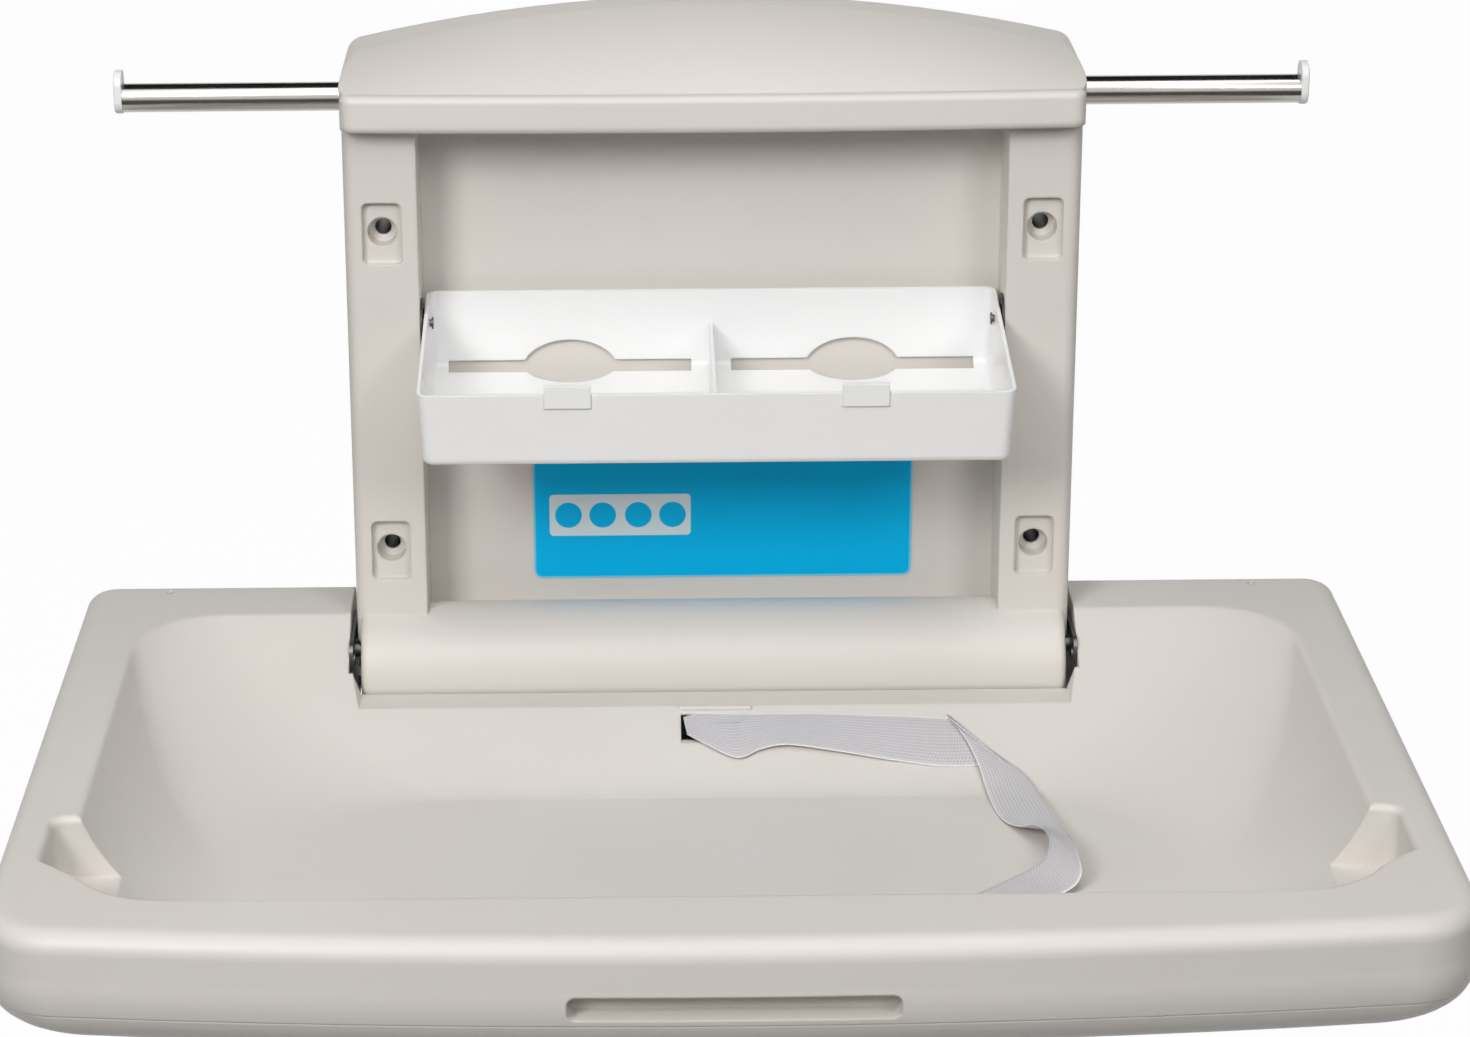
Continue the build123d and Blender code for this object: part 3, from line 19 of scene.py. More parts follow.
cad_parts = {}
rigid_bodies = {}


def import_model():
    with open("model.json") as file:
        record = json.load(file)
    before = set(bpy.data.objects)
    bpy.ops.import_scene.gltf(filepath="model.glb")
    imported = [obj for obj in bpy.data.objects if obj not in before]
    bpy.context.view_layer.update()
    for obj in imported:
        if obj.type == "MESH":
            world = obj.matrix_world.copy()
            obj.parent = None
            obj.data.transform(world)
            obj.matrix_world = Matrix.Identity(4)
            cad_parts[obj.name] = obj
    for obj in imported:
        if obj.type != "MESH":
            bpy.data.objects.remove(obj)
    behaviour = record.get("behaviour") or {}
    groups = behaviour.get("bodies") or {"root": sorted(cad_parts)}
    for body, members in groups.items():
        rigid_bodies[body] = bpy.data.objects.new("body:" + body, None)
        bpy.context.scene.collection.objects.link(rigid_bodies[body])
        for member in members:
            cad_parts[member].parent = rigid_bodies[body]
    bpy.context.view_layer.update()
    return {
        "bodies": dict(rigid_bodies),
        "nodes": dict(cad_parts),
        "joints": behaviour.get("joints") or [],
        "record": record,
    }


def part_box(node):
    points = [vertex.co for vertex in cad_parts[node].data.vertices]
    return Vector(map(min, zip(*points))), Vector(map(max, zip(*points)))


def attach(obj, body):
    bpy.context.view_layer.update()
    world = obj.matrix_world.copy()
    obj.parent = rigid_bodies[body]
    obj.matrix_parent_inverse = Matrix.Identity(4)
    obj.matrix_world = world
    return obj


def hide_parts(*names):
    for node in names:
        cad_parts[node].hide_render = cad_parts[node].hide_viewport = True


LOG = logging.getLogger("changing_table")

IMAGE_WIDTH = 1470
IMAGE_HEIGHT = 1037
WEAVE_MAP = "weave"
MIX_FIRST, MIX_SECOND, MIX_RESULT = 6, 7, 2  # Colour sockets of the Mix node

Point = tuple[float, float, float]


def srgb(code: str) -> tuple[float, float, float, float]:
    """Turn an sRGB hex colour into a linear colour.

    Args:
        code: Colour such as "#DCD8D3".

    Returns:
        Linear red, green and blue, and full opacity.
    """
    raw = np.array([int(code[i:i + 2], 16) for i in (1, 3, 5)]) / 255.0
    linear = np.where(raw <= 0.04045, raw / 12.92, ((raw + 0.055) / 1.055) ** 2.4)
    return (float(linear[0]), float(linear[1]), float(linear[2]), 1.0)


@dataclass(frozen=True)
class Grain:
    """Sizes of one smooth noise: lumps per metre, detail, roughness and stretch."""

    per_metre: float
    detail: float = 2.0
    roughness: float = 0.5
    stretch: Point = (1.0, 1.0, 1.0)


class Body(Enum):
    """Moving bodies that carry the webbing."""

    BED = "bed"


class NodeBench:
    """Short way to lay out one material's nodes."""

    def __init__(self, name: str) -> None:
        """Start an empty material with an output and a Principled shader.

        Args:
            name: Name of the material.
        """
        self.material = bpy.data.materials.new(name)
        self.material.use_nodes = True
        self.tree = self.material.node_tree
        self.tree.nodes.clear()
        self.output = self.tree.nodes.new("ShaderNodeOutputMaterial")
        self.shader = self.tree.nodes.new("ShaderNodeBsdfPrincipled")
        self.tree.links.new(self.shader.outputs["BSDF"], self.output.inputs["Surface"])

    def add(self, kind: str, **values: object) -> bpy.types.Node:
        """Add a node and set its properties.

        Args:
            kind: Node type, without its ShaderNode prefix.
            values: Properties of the node.

        Returns:
            The new node.
        """
        node = self.tree.nodes.new("ShaderNode" + kind)
        for key, value in values.items():
            setattr(node, key, value)
        return node

    def put(self, target: object, value: object) -> None:
        """Link a socket to a target socket, or set the target's value.

        Args:
            target: Input socket.
            value: Output socket, number or colour.
        """
        if isinstance(value, bpy.types.NodeSocket):
            self.tree.links.new(value, target)
        else:
            target.default_value = value

    def math(self, operation: str, *values: object) -> bpy.types.NodeSocket:
        """Join values by one arithmetic operation.

        Args:
            operation: Name of the operation.
            values: Sockets or numbers.

        Returns:
            The result's socket.
        """
        node = self.add("Math", operation=operation)
        for target, value in zip(node.inputs, values):
            self.put(target, value)
        return node.outputs["Value"]

    def length(self, first: object, second: object) -> bpy.types.NodeSocket:
        """Give the length of a vector with two parts."""
        return self.math("SQRT", self.math("ADD", self.math("MULTIPLY", first, first),
                                           self.math("MULTIPLY", second, second)))

    def object_coordinates(self, scale: Point = (1.0, 1.0, 1.0)) -> bpy.types.NodeSocket:
        """Give the piece's own coordinates in metres, stretched by a scale.

        Args:
            scale: Stretch along X, Y and Z.

        Returns:
            The coordinates' socket.
        """
        place = self.add("TexCoord")
        mapping = self.add("Mapping")
        mapping.inputs["Scale"].default_value = tuple(scale)
        self.put(mapping.inputs["Vector"], place.outputs["Object"])
        return mapping.outputs["Vector"]

    def noise(self, grain: Grain) -> bpy.types.NodeSocket:
        """Give smooth noise over the piece's own coordinates.

        Args:
            grain: Sizes of the noise.

        Returns:
            Socket of the noise, from 0 to 1.
        """
        node = self.add("TexNoise")
        self.put(node.inputs["Vector"], self.object_coordinates(grain.stretch))
        self.put(node.inputs["Scale"], grain.per_metre)
        self.put(node.inputs["Detail"], grain.detail)
        self.put(node.inputs["Roughness"], grain.roughness)
        return node.outputs["Fac"]

    def spread(self, value: object, low: float, high: float, start: float = 0.0,
               end: float = 1.0) -> bpy.types.NodeSocket:
        """Map a value from start..end onto low..high, and keep it between them.

        Args:
            value: Socket of the value.
            low: Result at the start.
            high: Result at the end.
            start: Value that gives low.
            end: Value that gives high.

        Returns:
            The result's socket.
        """
        node = self.add("MapRange")
        self.put(node.inputs["Value"], value)
        for name, number in (("From Min", start), ("From Max", end), ("To Min", low),
                             ("To Max", high)):
            self.put(node.inputs[name], number)
        return node.outputs["Result"]

    def mix(self, share: object, first: object, second: object) -> bpy.types.NodeSocket:
        """Mix two colours by a share.

        Args:
            share: Share of the second colour.
            first: Colour at a share of 0.
            second: Colour at a share of 1.

        Returns:
            The mixed colour's socket.
        """
        node = self.add("Mix", data_type="RGBA")
        self.put(node.inputs["Factor"], share)
        self.put(node.inputs[MIX_FIRST], first)
        self.put(node.inputs[MIX_SECOND], second)
        return node.outputs[MIX_RESULT]

    def rounded(self, radius: float, samples: int = 6) -> Optional[bpy.types.NodeSocket]:
        """Give a normal whose sharp edges look rounded, or nothing for no radius.

        Args:
            radius: Radius of the edges in metres.
            samples: Rays that look for an edge.

        Returns:
            The normal's socket, or None.
        """
        if radius <= 0:
            return None
        node = self.add("Bevel", samples=samples)
        self.put(node.inputs["Radius"], radius)
        return node.outputs["Normal"]

    def bump(self, height: object, distance: float,
             normal: Optional[bpy.types.NodeSocket] = None) -> bpy.types.NodeSocket:
        """Give a normal raised by a height.

        Args:
            height: Height from 0 to 1.
            distance: Metres at full height.
            normal: Normal to start from, or None for the surface's own.

        Returns:
            The normal's socket.
        """
        node = self.add("Bump")
        self.put(node.inputs["Height"], height)
        self.put(node.inputs["Distance"], distance)
        self.put(node.inputs["Strength"], 1.0)
        if normal is not None:
            self.put(node.inputs["Normal"], normal)
        return node.outputs["Normal"]


@dataclass(frozen=True)
class MouldedPlastic:
    """Plastic moulding with a fine grain, faint mottling and light scuffs."""

    name: str
    colour: str
    shade: str
    roughness: float
    roughness_play: float = 0.03
    mottle: Grain = Grain(9.0, 3.0, 0.55)
    mottle_from: float = 0.35
    mottle_to: float = 0.65
    mottle_share: float = 0.3
    scuff: Grain = Grain(30.0, 6.0, 0.7, (1.0, 6.0, 6.0))
    scuff_from: float = 0.6
    scuff_to: float = 0.85
    scuff_roughness: float = 0.05
    grain: Grain = Grain(1400.0, 2.0, 0.6)
    grain_height: float = 0.00003
    wave: Grain = Grain(14.0, 1.0, 0.3)
    wave_height: float = 0.0002
    specular: float = 0.4
    soft_edge: float = 0.0

    def build(self) -> bpy.types.Material:
        """Lay out the material.

        Returns:
            The finished material.
        """
        bench = NodeBench(self.name)
        mottle = bench.noise(self.mottle)
        cloud = bench.spread(mottle, 0.0, 1.0, self.mottle_from, self.mottle_to)
        colour = bench.mix(bench.math("MULTIPLY", cloud, self.mottle_share), srgb(self.colour),
                           srgb(self.shade))
        worn = bench.spread(bench.noise(self.scuff), 0.0, self.scuff_roughness, self.scuff_from,
                            self.scuff_to)
        rough = bench.spread(mottle, self.roughness - self.roughness_play,
                             self.roughness + self.roughness_play)
        bench.put(bench.shader.inputs["Base Color"], colour)
        bench.put(bench.shader.inputs["Roughness"], bench.math("ADD", worn, rough))
        normal = bench.bump(bench.noise(self.grain), self.grain_height,
                            bench.rounded(self.soft_edge))
        normal = bench.bump(bench.noise(self.wave), self.wave_height, normal)
        bench.put(bench.shader.inputs["Normal"], normal)
        bench.put(bench.shader.inputs["Specular IOR Level"], self.specular)
        return bench.material


@dataclass(frozen=True)
class DrawnSteel:
    """Steel with fine lines along one direction."""

    name: str
    colour: str
    shade: str
    roughness: float
    line_scale: Point = (8.0, 900.0, 900.0)
    line_detail: float = 3.0
    line_softness: float = 0.6
    line_height: float = 0.00001
    line_share: float = 0.5
    line_roughness: float = 0.05
    haze: Grain = Grain(25.0, 3.0, 0.6)
    haze_down: float = 0.04
    haze_up: float = 0.06
    metallic: float = 1.0

    def build(self) -> bpy.types.Material:
        """Lay out the material.

        Returns:
            The finished material.
        """
        bench = NodeBench(self.name)
        lines = bench.noise(Grain(1.0, self.line_detail, self.line_softness, self.line_scale))
        colour = bench.mix(bench.math("MULTIPLY", lines, self.line_share), srgb(self.colour),
                           srgb(self.shade))
        rough = bench.spread(bench.noise(self.haze), self.roughness - self.haze_down,
                             self.roughness + self.haze_up)
        streak = bench.math("MULTIPLY", lines, self.line_roughness)
        bench.put(bench.shader.inputs["Base Color"], colour)
        bench.put(bench.shader.inputs["Roughness"], bench.math("ADD", rough, streak))
        bench.put(bench.shader.inputs["Metallic"], self.metallic)
        bench.put(bench.shader.inputs["Normal"], bench.bump(lines, self.line_height))
        return bench.material


@dataclass(frozen=True)
class WovenWebbing:
    """Woven webbing: cords run along the strap and weft ribs run across it."""

    name: str = "webbing_grey"
    colour: str = "#E6E3E5"
    # shade: colour of the painted shade in the weave's low points, where cords and ribs shade each
    # other
    shade: str = "#B2AFB3"
    # The selvedge colour is a painted highlight along the strap's rounded edges.
    selvedge_highlight_colour: str = "#F4F2F4"
    rib_pitch: float = 0.0019
    cord_pitch: float = 0.0026
    half_width: float = 0.019
    selvedge_highlight_width: float = 0.0006
    selvedge_highlight_share: float = 0.8
    valley_painted_shade: float = 0.8
    height: float = 0.00028
    fuzz: Grain = Grain(2600.0, 2.0, 0.7)
    fuzz_share: float = 0.3
    roughness_low: float = 0.55
    roughness_high: float = 0.8
    sheen: float = 0.3
    sheen_roughness: float = 0.4
    specular: float = 0.25

    def build(self) -> bpy.types.Material:
        """Lay out the weave from the strap's own map, whose unit is one metre.

        Returns:
            The finished material.
        """
        bench = NodeBench(self.name)
        place = bench.add("UVMap")
        place.uv_map = WEAVE_MAP
        parts = bench.add("SeparateXYZ")
        bench.put(parts.inputs["Vector"], place.outputs["UV"])
        along, across = parts.outputs["X"], parts.outputs["Y"]
        cord = bench.math("MULTIPLY", across, 2 * math.pi / self.cord_pitch)
        side = bench.math("SIGN", bench.math("SINE", cord))
        shift = bench.math("MULTIPLY", side, math.pi / 2)
        turn = bench.math("MULTIPLY", along, 2 * math.pi / self.rib_pitch)
        rib = bench.math("SINE", bench.math("ADD", shift, turn))
        ridge = bench.math("ABSOLUTE", bench.math("SINE", bench.math("MULTIPLY", cord, 0.5)))
        weave = bench.math("MULTIPLY", bench.spread(rib, 0.0, 1.0, -1.0, 1.0), ridge)
        fuzz = bench.noise(self.fuzz)
        height = bench.math("ADD", weave, bench.math("MULTIPLY", fuzz, self.fuzz_share))
        # Painted shade: the weave's low points are darkened towards the shade colour.
        cloth_with_painted_shade = bench.mix(bench.spread(weave, self.valley_painted_shade, 0.0), srgb(self.colour),
                          srgb(self.shade))
        # Painted highlight: a thin band along each selvedge is lightened.
        rim = bench.spread(bench.math("ABSOLUTE", across), 0.0, self.selvedge_highlight_share,
                           self.half_width - 2 * self.selvedge_highlight_width, self.half_width - self.selvedge_highlight_width)
        bench.put(bench.shader.inputs["Base Color"], bench.mix(rim, cloth_with_painted_shade, srgb(self.selvedge_highlight_colour)))
        bench.put(bench.shader.inputs["Roughness"],
                  bench.spread(fuzz, self.roughness_low, self.roughness_high))
        bench.put(bench.shader.inputs["Sheen Weight"], self.sheen)
        bench.put(bench.shader.inputs["Sheen Roughness"], self.sheen_roughness)
        bench.put(bench.shader.inputs["Specular IOR Level"], self.specular)
        bench.put(bench.shader.inputs["Normal"], bench.bump(height, self.height))
        return bench.material


@dataclass(frozen=True)
class PrintedPlate:
    """Blue plate with a pale outline, a pale panel and plain discs, all drawn on its face."""

    name: str = "plate_blue"
    blue: str = "#00BAF4"
    pale: str = "#DCEAEF"
    outline: str = "#7FD2F2"
    left: float = -0.122
    right: float = 0.138
    low: float = -0.150
    high: float = -0.014
    corner: float = 0.006
    border_in: float = 0.0012
    ink_soft: float = 0.0002
    panel: tuple[float, float, float, float] = (-0.111, -0.014, -0.119, -0.089)
    panel_corner: float = 0.003
    disc_x: tuple[float, ...] = (-0.098, -0.0745, -0.050, -0.0265)
    disc_z: float = -0.104
    disc_r: float = 0.0092
    film: Grain = Grain(60.0, 3.0, 0.6)
    film_height: float = 0.00005
    roughness_low: float = 0.36
    roughness_high: float = 0.46
    specular: float = 0.12

    def build(self) -> bpy.types.Material:
        """Lay out the print from distances on the plate's face.

        Returns:
            The finished material.
        """
        bench = NodeBench(self.name)
        parts = bench.add("SeparateXYZ")
        bench.put(parts.inputs["Vector"], bench.object_coordinates())
        x, z = parts.outputs["X"], parts.outputs["Z"]
        edge = self.rounded_distance(bench, x, z, (self.left, self.right, self.low, self.high),
                                     self.corner)
        outline = self.step(bench, edge, -self.border_in, inside=0.0)
        panel = self.rounded_distance(bench, x, z, self.panel, self.panel_corner)
        colour = bench.mix(outline, srgb(self.blue), srgb(self.outline))
        colour = bench.mix(self.step(bench, panel, 0.0), colour, srgb(self.pale))
        for centre in self.disc_x:
            far = bench.length(bench.math("SUBTRACT", x, centre),
                               bench.math("SUBTRACT", z, self.disc_z))
            colour = bench.mix(self.step(bench, far, self.disc_r), colour, srgb(self.blue))
        film = bench.noise(self.film)
        bench.put(bench.shader.inputs["Base Color"], colour)
        bench.put(bench.shader.inputs["Roughness"],
                  bench.spread(film, self.roughness_low, self.roughness_high))
        bench.put(bench.shader.inputs["Specular IOR Level"], self.specular)
        bench.put(bench.shader.inputs["Normal"], bench.bump(film, self.film_height))
        return bench.material

    def step(self, bench: NodeBench, distance: object, edge: float, inside: float = 1.0
             ) -> bpy.types.NodeSocket:
        """Give a mask that steps softly at an edge, from its inside value to 1 less that."""
        return bench.spread(distance, inside, 1.0 - inside, edge - self.ink_soft,
                            edge + self.ink_soft)

    def rounded_distance(self, bench: NodeBench, x: object, z: object,
                         box: tuple[float, float, float, float], corner: float
                         ) -> bpy.types.NodeSocket:
        """Give the distance outside a rounded rectangle, negative inside it.

        Args:
            bench: Material's bench.
            x: Socket of the place across.
            z: Socket of the place up.
            box: Left, right, low and high.
            corner: Corner radius.

        Returns:
            Socket of the distance in metres.
        """
        left, right, low, high = box
        dx = bench.math("SUBTRACT", bench.math("ABSOLUTE", bench.math(
            "SUBTRACT", x, (left + right) / 2)), (right - left) / 2 - corner)
        dz = bench.math("SUBTRACT", bench.math("ABSOLUTE", bench.math(
            "SUBTRACT", z, (low + high) / 2)), (high - low) / 2 - corner)
        ox, oz = bench.math("MAXIMUM", dx, 0.0), bench.math("MAXIMUM", dz, 0.0)
        outer = bench.length(ox, oz)
        inner = bench.math("MINIMUM", bench.math("MAXIMUM", dx, dz), 0.0)
        return bench.math("SUBTRACT", bench.math("ADD", outer, inner), corner)


class Finish(Enum):
    """Finishes of the table."""

    BODY = MouldedPlastic("moulding_beige", "#DCD7D1", "#D6D0C9", 0.42, soft_edge=0.0022)
    TRAY = MouldedPlastic("tray_white", "#F4F4F4", "#F0F0F0", 0.3, wave_height=0.0001,
                          soft_edge=0.001)
    CAP = MouldedPlastic("cap_white", "#F2F2F2", "#EAEAEA", 0.35)
    BUCKLE = MouldedPlastic("buckle_grey", "#A9A8AD", "#9C9BA0", 0.4)
    DAMPER = MouldedPlastic("damper_black", "#26262A", "#1C1C1F", 0.5)
    RAIL = DrawnSteel("rail_polished", "#B9B6B2", "#9C9894", 0.14)
    # Plate steel is darkened as painted shade, standing in for the shadow in the gap beside the
    # roller.
    PLATE = DrawnSteel("plate_steel_painted_shade", "#6E6C6A", "#4E4C4A", 0.34, (300.0, 40.0, 400.0))
    BRACKET = DrawnSteel("bracket_dark", "#4A494B", "#2C2B2D", 0.35, (300.0, 300.0, 60.0),
                         metallic=0.7)
    ZINC = DrawnSteel("plated_zinc", "#B9BCC0", "#93979C", 0.35, (120.0, 120.0, 120.0))
    BRONZE = DrawnSteel("bush_bronze", "#C39A62", "#9C7743", 0.3, (600.0, 60.0, 60.0))
    WEBBING = WovenWebbing()
    LABEL = PrintedPlate()


WEAR = {
    Finish.BODY: ("front_moulding", "back_cover", "bed_top_shell", "bed_bottom_shell"),
    Finish.TRAY: ("liner_tray",),
    Finish.CAP: ("rail_cap_left", "rail_cap_right"),
    Finish.RAIL: ("rail_tube",),
    Finish.PLATE: ("hinge_plate_left", "hinge_plate_right", "hinge_plate_screws",
                   "mounting_sleeves", "tray_pin_left", "tray_pin_right", "hinge_shaft"),
    Finish.BRACKET: ("tray_bracket_left", "tray_bracket_right", "tray_bracket_screws"),
    Finish.ZINC: ("cover_screws", "steel_plate", "bearing_bracket_left", "bearing_bracket_right",
                  "damper_screws", "stop_blocks", "bed_screws", "bed_frame", "stop_dogs",
                  "strap_anchor", "front_anchor", "rail_saddles"),
    Finish.BRONZE: ("hinge_bush_left", "hinge_bush_right"),
    Finish.DAMPER: ("damper_left", "damper_right", "damper_rotor_left", "damper_rotor_right"),
    Finish.BUCKLE: ("buckle_socket", "buckle_plug"),
    Finish.LABEL: ("label_plate",),
    Finish.WEBBING: ("strap", "front_strap"),
}


@dataclass(frozen=True)
class Lamp:
    """Square soft lamp: its place, its side in metres, its power and the point that it faces."""

    name: str
    place: Point
    size: float
    watts: float
    aim: Point = (0.0, -0.25, 0.0)


@dataclass(frozen=True)
class Card:
    """Card that only mirrors see, between two opposite corners."""

    name: str
    left: Point
    right: Point
    colour: str
    roughness: float = 0.9


LAMPS = (
    Lamp("left", (-1.3, -2.6, 1.5), 0.9, 44.0),
    Lamp("right", (1.3, -2.6, 1.5), 0.9, 21.0),
    Lamp("key", (-0.3, -2.2, 1.8), 1.2, 9.0),
    Lamp("close", (0.0, -1.2, 1.7), 1.3, 9.5, (0.0, -0.2, 0.0)),
    Lamp("top", (0.3, -0.6, 2.6), 1.4, 10.0, (0.0, -0.3, 0.0)),
)
CARDS = (
    Card("card_above", (-1.8, -0.3, 2.2), (1.8, 2.6, 1.9), "#1C1C1E"),
    Card("card_low", (-1.8, -2.4, 0.0), (1.8, -1.1, -0.9), "#6A6763"),
)


@dataclass
class Studio:
    """Camera, lamps, cards, floor and surroundings."""

    camera_place: Point = (-0.0608, -2.5902, 0.8224)
    yaw: float = math.radians(0.3)
    pitch: float = math.radians(20.0)
    roll: float = math.radians(-0.4)
    focal_pixels: float = 3951.3
    centre_x: float = 642.1
    centre_y: float = 519.2
    sensor: float = 36.0
    view_end: float = 60.0
    ambient: float = 0.03
    ambient_colour: str = "#F7F5F2"
    floor_height: float = -0.95
    floor_reach: float = 9.0
    floor_grain: Grain = Grain(40.0, 3.0)
    floor_low: float = 0.28
    floor_high: float = 0.32
    floor_roughness: float = 0.8
    floor_glow: float = 1.18
    floor_glow_share: float = 0.82

    def build(self) -> None:
        """Set up everything round the table."""
        scene = bpy.context.scene
        scene.view_settings.view_transform = "Standard"
        self.camera()
        self.world()
        self.floor()
        for plan in LAMPS:
            self.lamp(plan)
        for plan in CARDS:
            self.card(plan)

    def camera(self) -> None:
        """Place the camera at the photograph's place, with a small shift of its lens."""
        forward = Vector((math.sin(self.yaw) * math.cos(self.pitch),
                          math.cos(self.yaw) * math.cos(self.pitch), -math.sin(self.pitch)))
        level = Vector((math.cos(self.yaw), -math.sin(self.yaw), 0.0))
        upright = level.cross(forward)
        right = math.cos(self.roll) * level + math.sin(self.roll) * upright
        up = -math.sin(self.roll) * level + math.cos(self.roll) * upright
        turn = Matrix((right, up, -forward)).transposed().to_4x4()
        data = bpy.data.cameras.new("camera")
        data.sensor_fit = "HORIZONTAL"
        data.sensor_width = self.sensor
        data.lens = self.sensor * self.focal_pixels / IMAGE_WIDTH
        data.shift_x = (IMAGE_WIDTH / 2 - self.centre_x) / IMAGE_WIDTH
        data.shift_y = (self.centre_y - IMAGE_HEIGHT / 2) / IMAGE_WIDTH
        data.clip_end = self.view_end
        camera = bpy.data.objects.new("camera", data)
        camera.matrix_world = Matrix.Translation(self.camera_place) @ turn
        bpy.context.collection.objects.link(camera)
        bpy.context.scene.camera = camera

    def world(self) -> None:
        """Light the room softly, and show plain white where a ray sees past the table."""
        world = bpy.data.worlds.new("room")
        world.use_nodes = True
        tree = world.node_tree
        tree.nodes.clear()
        output = tree.nodes.new("ShaderNodeOutputWorld")
        soft = tree.nodes.new("ShaderNodeBackground")
        soft.inputs["Color"].default_value = srgb(self.ambient_colour)
        soft.inputs["Strength"].default_value = self.ambient
        white = tree.nodes.new("ShaderNodeBackground")
        white.inputs["Color"].default_value = srgb("#FFFFFF")
        path = tree.nodes.new("ShaderNodeLightPath")
        seen = path.outputs["Is Camera Ray"]
        for ray in ("Is Glossy Ray", "Is Transmission Ray"):
            either = tree.nodes.new("ShaderNodeMath")
            either.operation = "MAXIMUM"
            tree.links.new(seen, either.inputs[0])
            tree.links.new(path.outputs[ray], either.inputs[1])
            seen = either.outputs[0]
        mix = tree.nodes.new("ShaderNodeMixShader")
        tree.links.new(seen, mix.inputs["Fac"])
        tree.links.new(soft.outputs[0], mix.inputs[1])
        tree.links.new(white.outputs[0], mix.inputs[2])
        tree.links.new(mix.outputs[0], output.inputs["Surface"])
        bpy.context.scene.world = world

    def flat_piece(self, name: str, corners: Sequence[Point], bench: NodeBench
                   ) -> bpy.types.Object:
        """Lay one flat piece of the studio, with its material.

        Args:
            name: Piece's name.
            corners: Its four corners in turn.
            bench: Bench that holds its material.

        Returns:
            The new piece.
        """
        mesh = bpy.data.meshes.new(name)
        mesh.from_pydata(list(corners), [], [(0, 1, 2, 3)])
        mesh.materials.append(bench.material)
        piece = bpy.data.objects.new(name, mesh)
        bpy.context.collection.objects.link(piece)
        return piece

    def card(self, plan: Card) -> None:
        """Hang one card, as a studio does for polished metal.

        Args:
            plan: The card.
        """
        left, right = plan.left, plan.right
        bench = NodeBench(plan.name)
        bench.put(bench.shader.inputs["Base Color"], srgb(plan.colour))
        bench.put(bench.shader.inputs["Roughness"], plan.roughness)
        corners = (left, (right[0], left[1], left[2]), right, (left[0], right[1], right[2]))
        card = self.flat_piece(plan.name, corners, bench)
        for flag in ("visible_camera", "visible_diffuse", "visible_shadow",
                     "visible_transmission"):
            setattr(card, flag, False)

    def floor(self) -> None:
        """Lay a pale floor well below the table, which keeps the table's shadow."""
        bench = NodeBench("floor_pale")
        speck = bench.spread(bench.noise(self.floor_grain), self.floor_low, self.floor_high)
        tone = bench.add("CombineColor")
        for channel in tone.inputs:
            bench.put(channel, speck)
        bench.put(bench.shader.inputs["Base Color"], tone.outputs["Color"])
        bench.put(bench.shader.inputs["Roughness"], self.floor_roughness)
        glow = bench.add("Emission")
        path = bench.add("LightPath")
        seen = bench.math("MAXIMUM", path.outputs["Is Camera Ray"], path.outputs["Is Glossy Ray"])
        seen = bench.math("MAXIMUM", seen, path.outputs["Is Transmission Ray"])
        mix = bench.add("MixShader")
        bench.put(glow.inputs["Strength"], self.floor_glow)
        bench.put(mix.inputs["Fac"], bench.math("MULTIPLY", seen, self.floor_glow_share))
        bench.put(mix.inputs[1], bench.shader.outputs["BSDF"])
        bench.put(mix.inputs[2], glow.outputs["Emission"])
        bench.put(bench.output.inputs["Surface"], mix.outputs["Shader"])
        reach, height = self.floor_reach, self.floor_height
        corners = ((-reach, -reach, height), (reach, -reach, height), (reach, reach, height),
                   (-reach, reach, height))
        floor = self.flat_piece("floor", corners, bench)

    def lamp(self, plan: Lamp) -> None:
        """Hang one lamp.

        Args:
            plan: The lamp.
        """
        data = bpy.data.lights.new(plan.name, "AREA")
        data.shape = "SQUARE"
        data.size = plan.size
        data.energy = plan.watts
        lamp = bpy.data.objects.new(plan.name, data)
        lamp.location = plan.place
        aim = Vector(plan.aim) - Vector(plan.place)
        lamp.rotation_euler = aim.to_track_quat("-Z", "Y").to_euler()
        bpy.context.collection.objects.link(lamp)


def grid_mesh(name: str, points: np.ndarray, across: np.ndarray, along: np.ndarray
              ) -> bpy.types.Mesh:
    """Turn a grid of points into a mesh of quads with a map in metres.

    Args:
        name: Mesh name.
        points: Array of rows, columns and three coordinates.
        across: Map value across the strap, one for each column.
        along: Map value along the strap, one for each row.

    Returns:
        The mesh, with the weave's map.
    """
    rows, columns = points.shape[:2]
    index = np.arange(rows * columns).reshape(rows, columns)
    faces = np.stack([index[:-1, :-1], index[:-1, 1:], index[1:, 1:], index[1:, :-1]], axis=-1)
    faces = faces.reshape(-1, 4)
    mesh = bpy.data.meshes.new(name)
    mesh.from_pydata(points.reshape(-1, 3).tolist(), [], faces.tolist())
    v, u = np.meshgrid(across, along)
    flat = np.stack([u.reshape(-1), v.reshape(-1)], axis=-1)
    layer = mesh.uv_layers.new(name=WEAVE_MAP)
    layer.data.foreach_set("uv", flat[faces.reshape(-1)].reshape(-1))
    mesh.polygons.foreach_set("use_smooth", np.ones(len(mesh.polygons), dtype=bool))
    mesh.update()
    return mesh


def smooth_path(stations: np.ndarray, steps: int) -> np.ndarray:
    """Draw a smooth curve through every station.

    Each stretch is the cubic whose slope at a station is half the way between its neighbours.

    Args:
        stations: Array of points, one row each.
        steps: Points laid on each stretch.

    Returns:
        Array of points from the first station to the last.
    """
    padded = np.vstack([2 * stations[:1] - stations[1:2], stations,
                        2 * stations[-1:] - stations[-2:-1]])
    before, start, end, after = padded[:-3], padded[1:-2], padded[2:-1], padded[3:]
    t = (np.arange(steps) / steps)[None, :, None]
    start, end = start[:, None], end[:, None]
    before, after = before[:, None], after[:, None]
    curve = 0.5 * (2 * start + (end - before) * t
                   + (2 * before - 5 * start + 4 * end - after) * t ** 2
                   + (3 * start - 3 * end + after - before) * t ** 3)
    return np.vstack([curve.reshape(-1, stations.shape[1]), stations[-1:]])


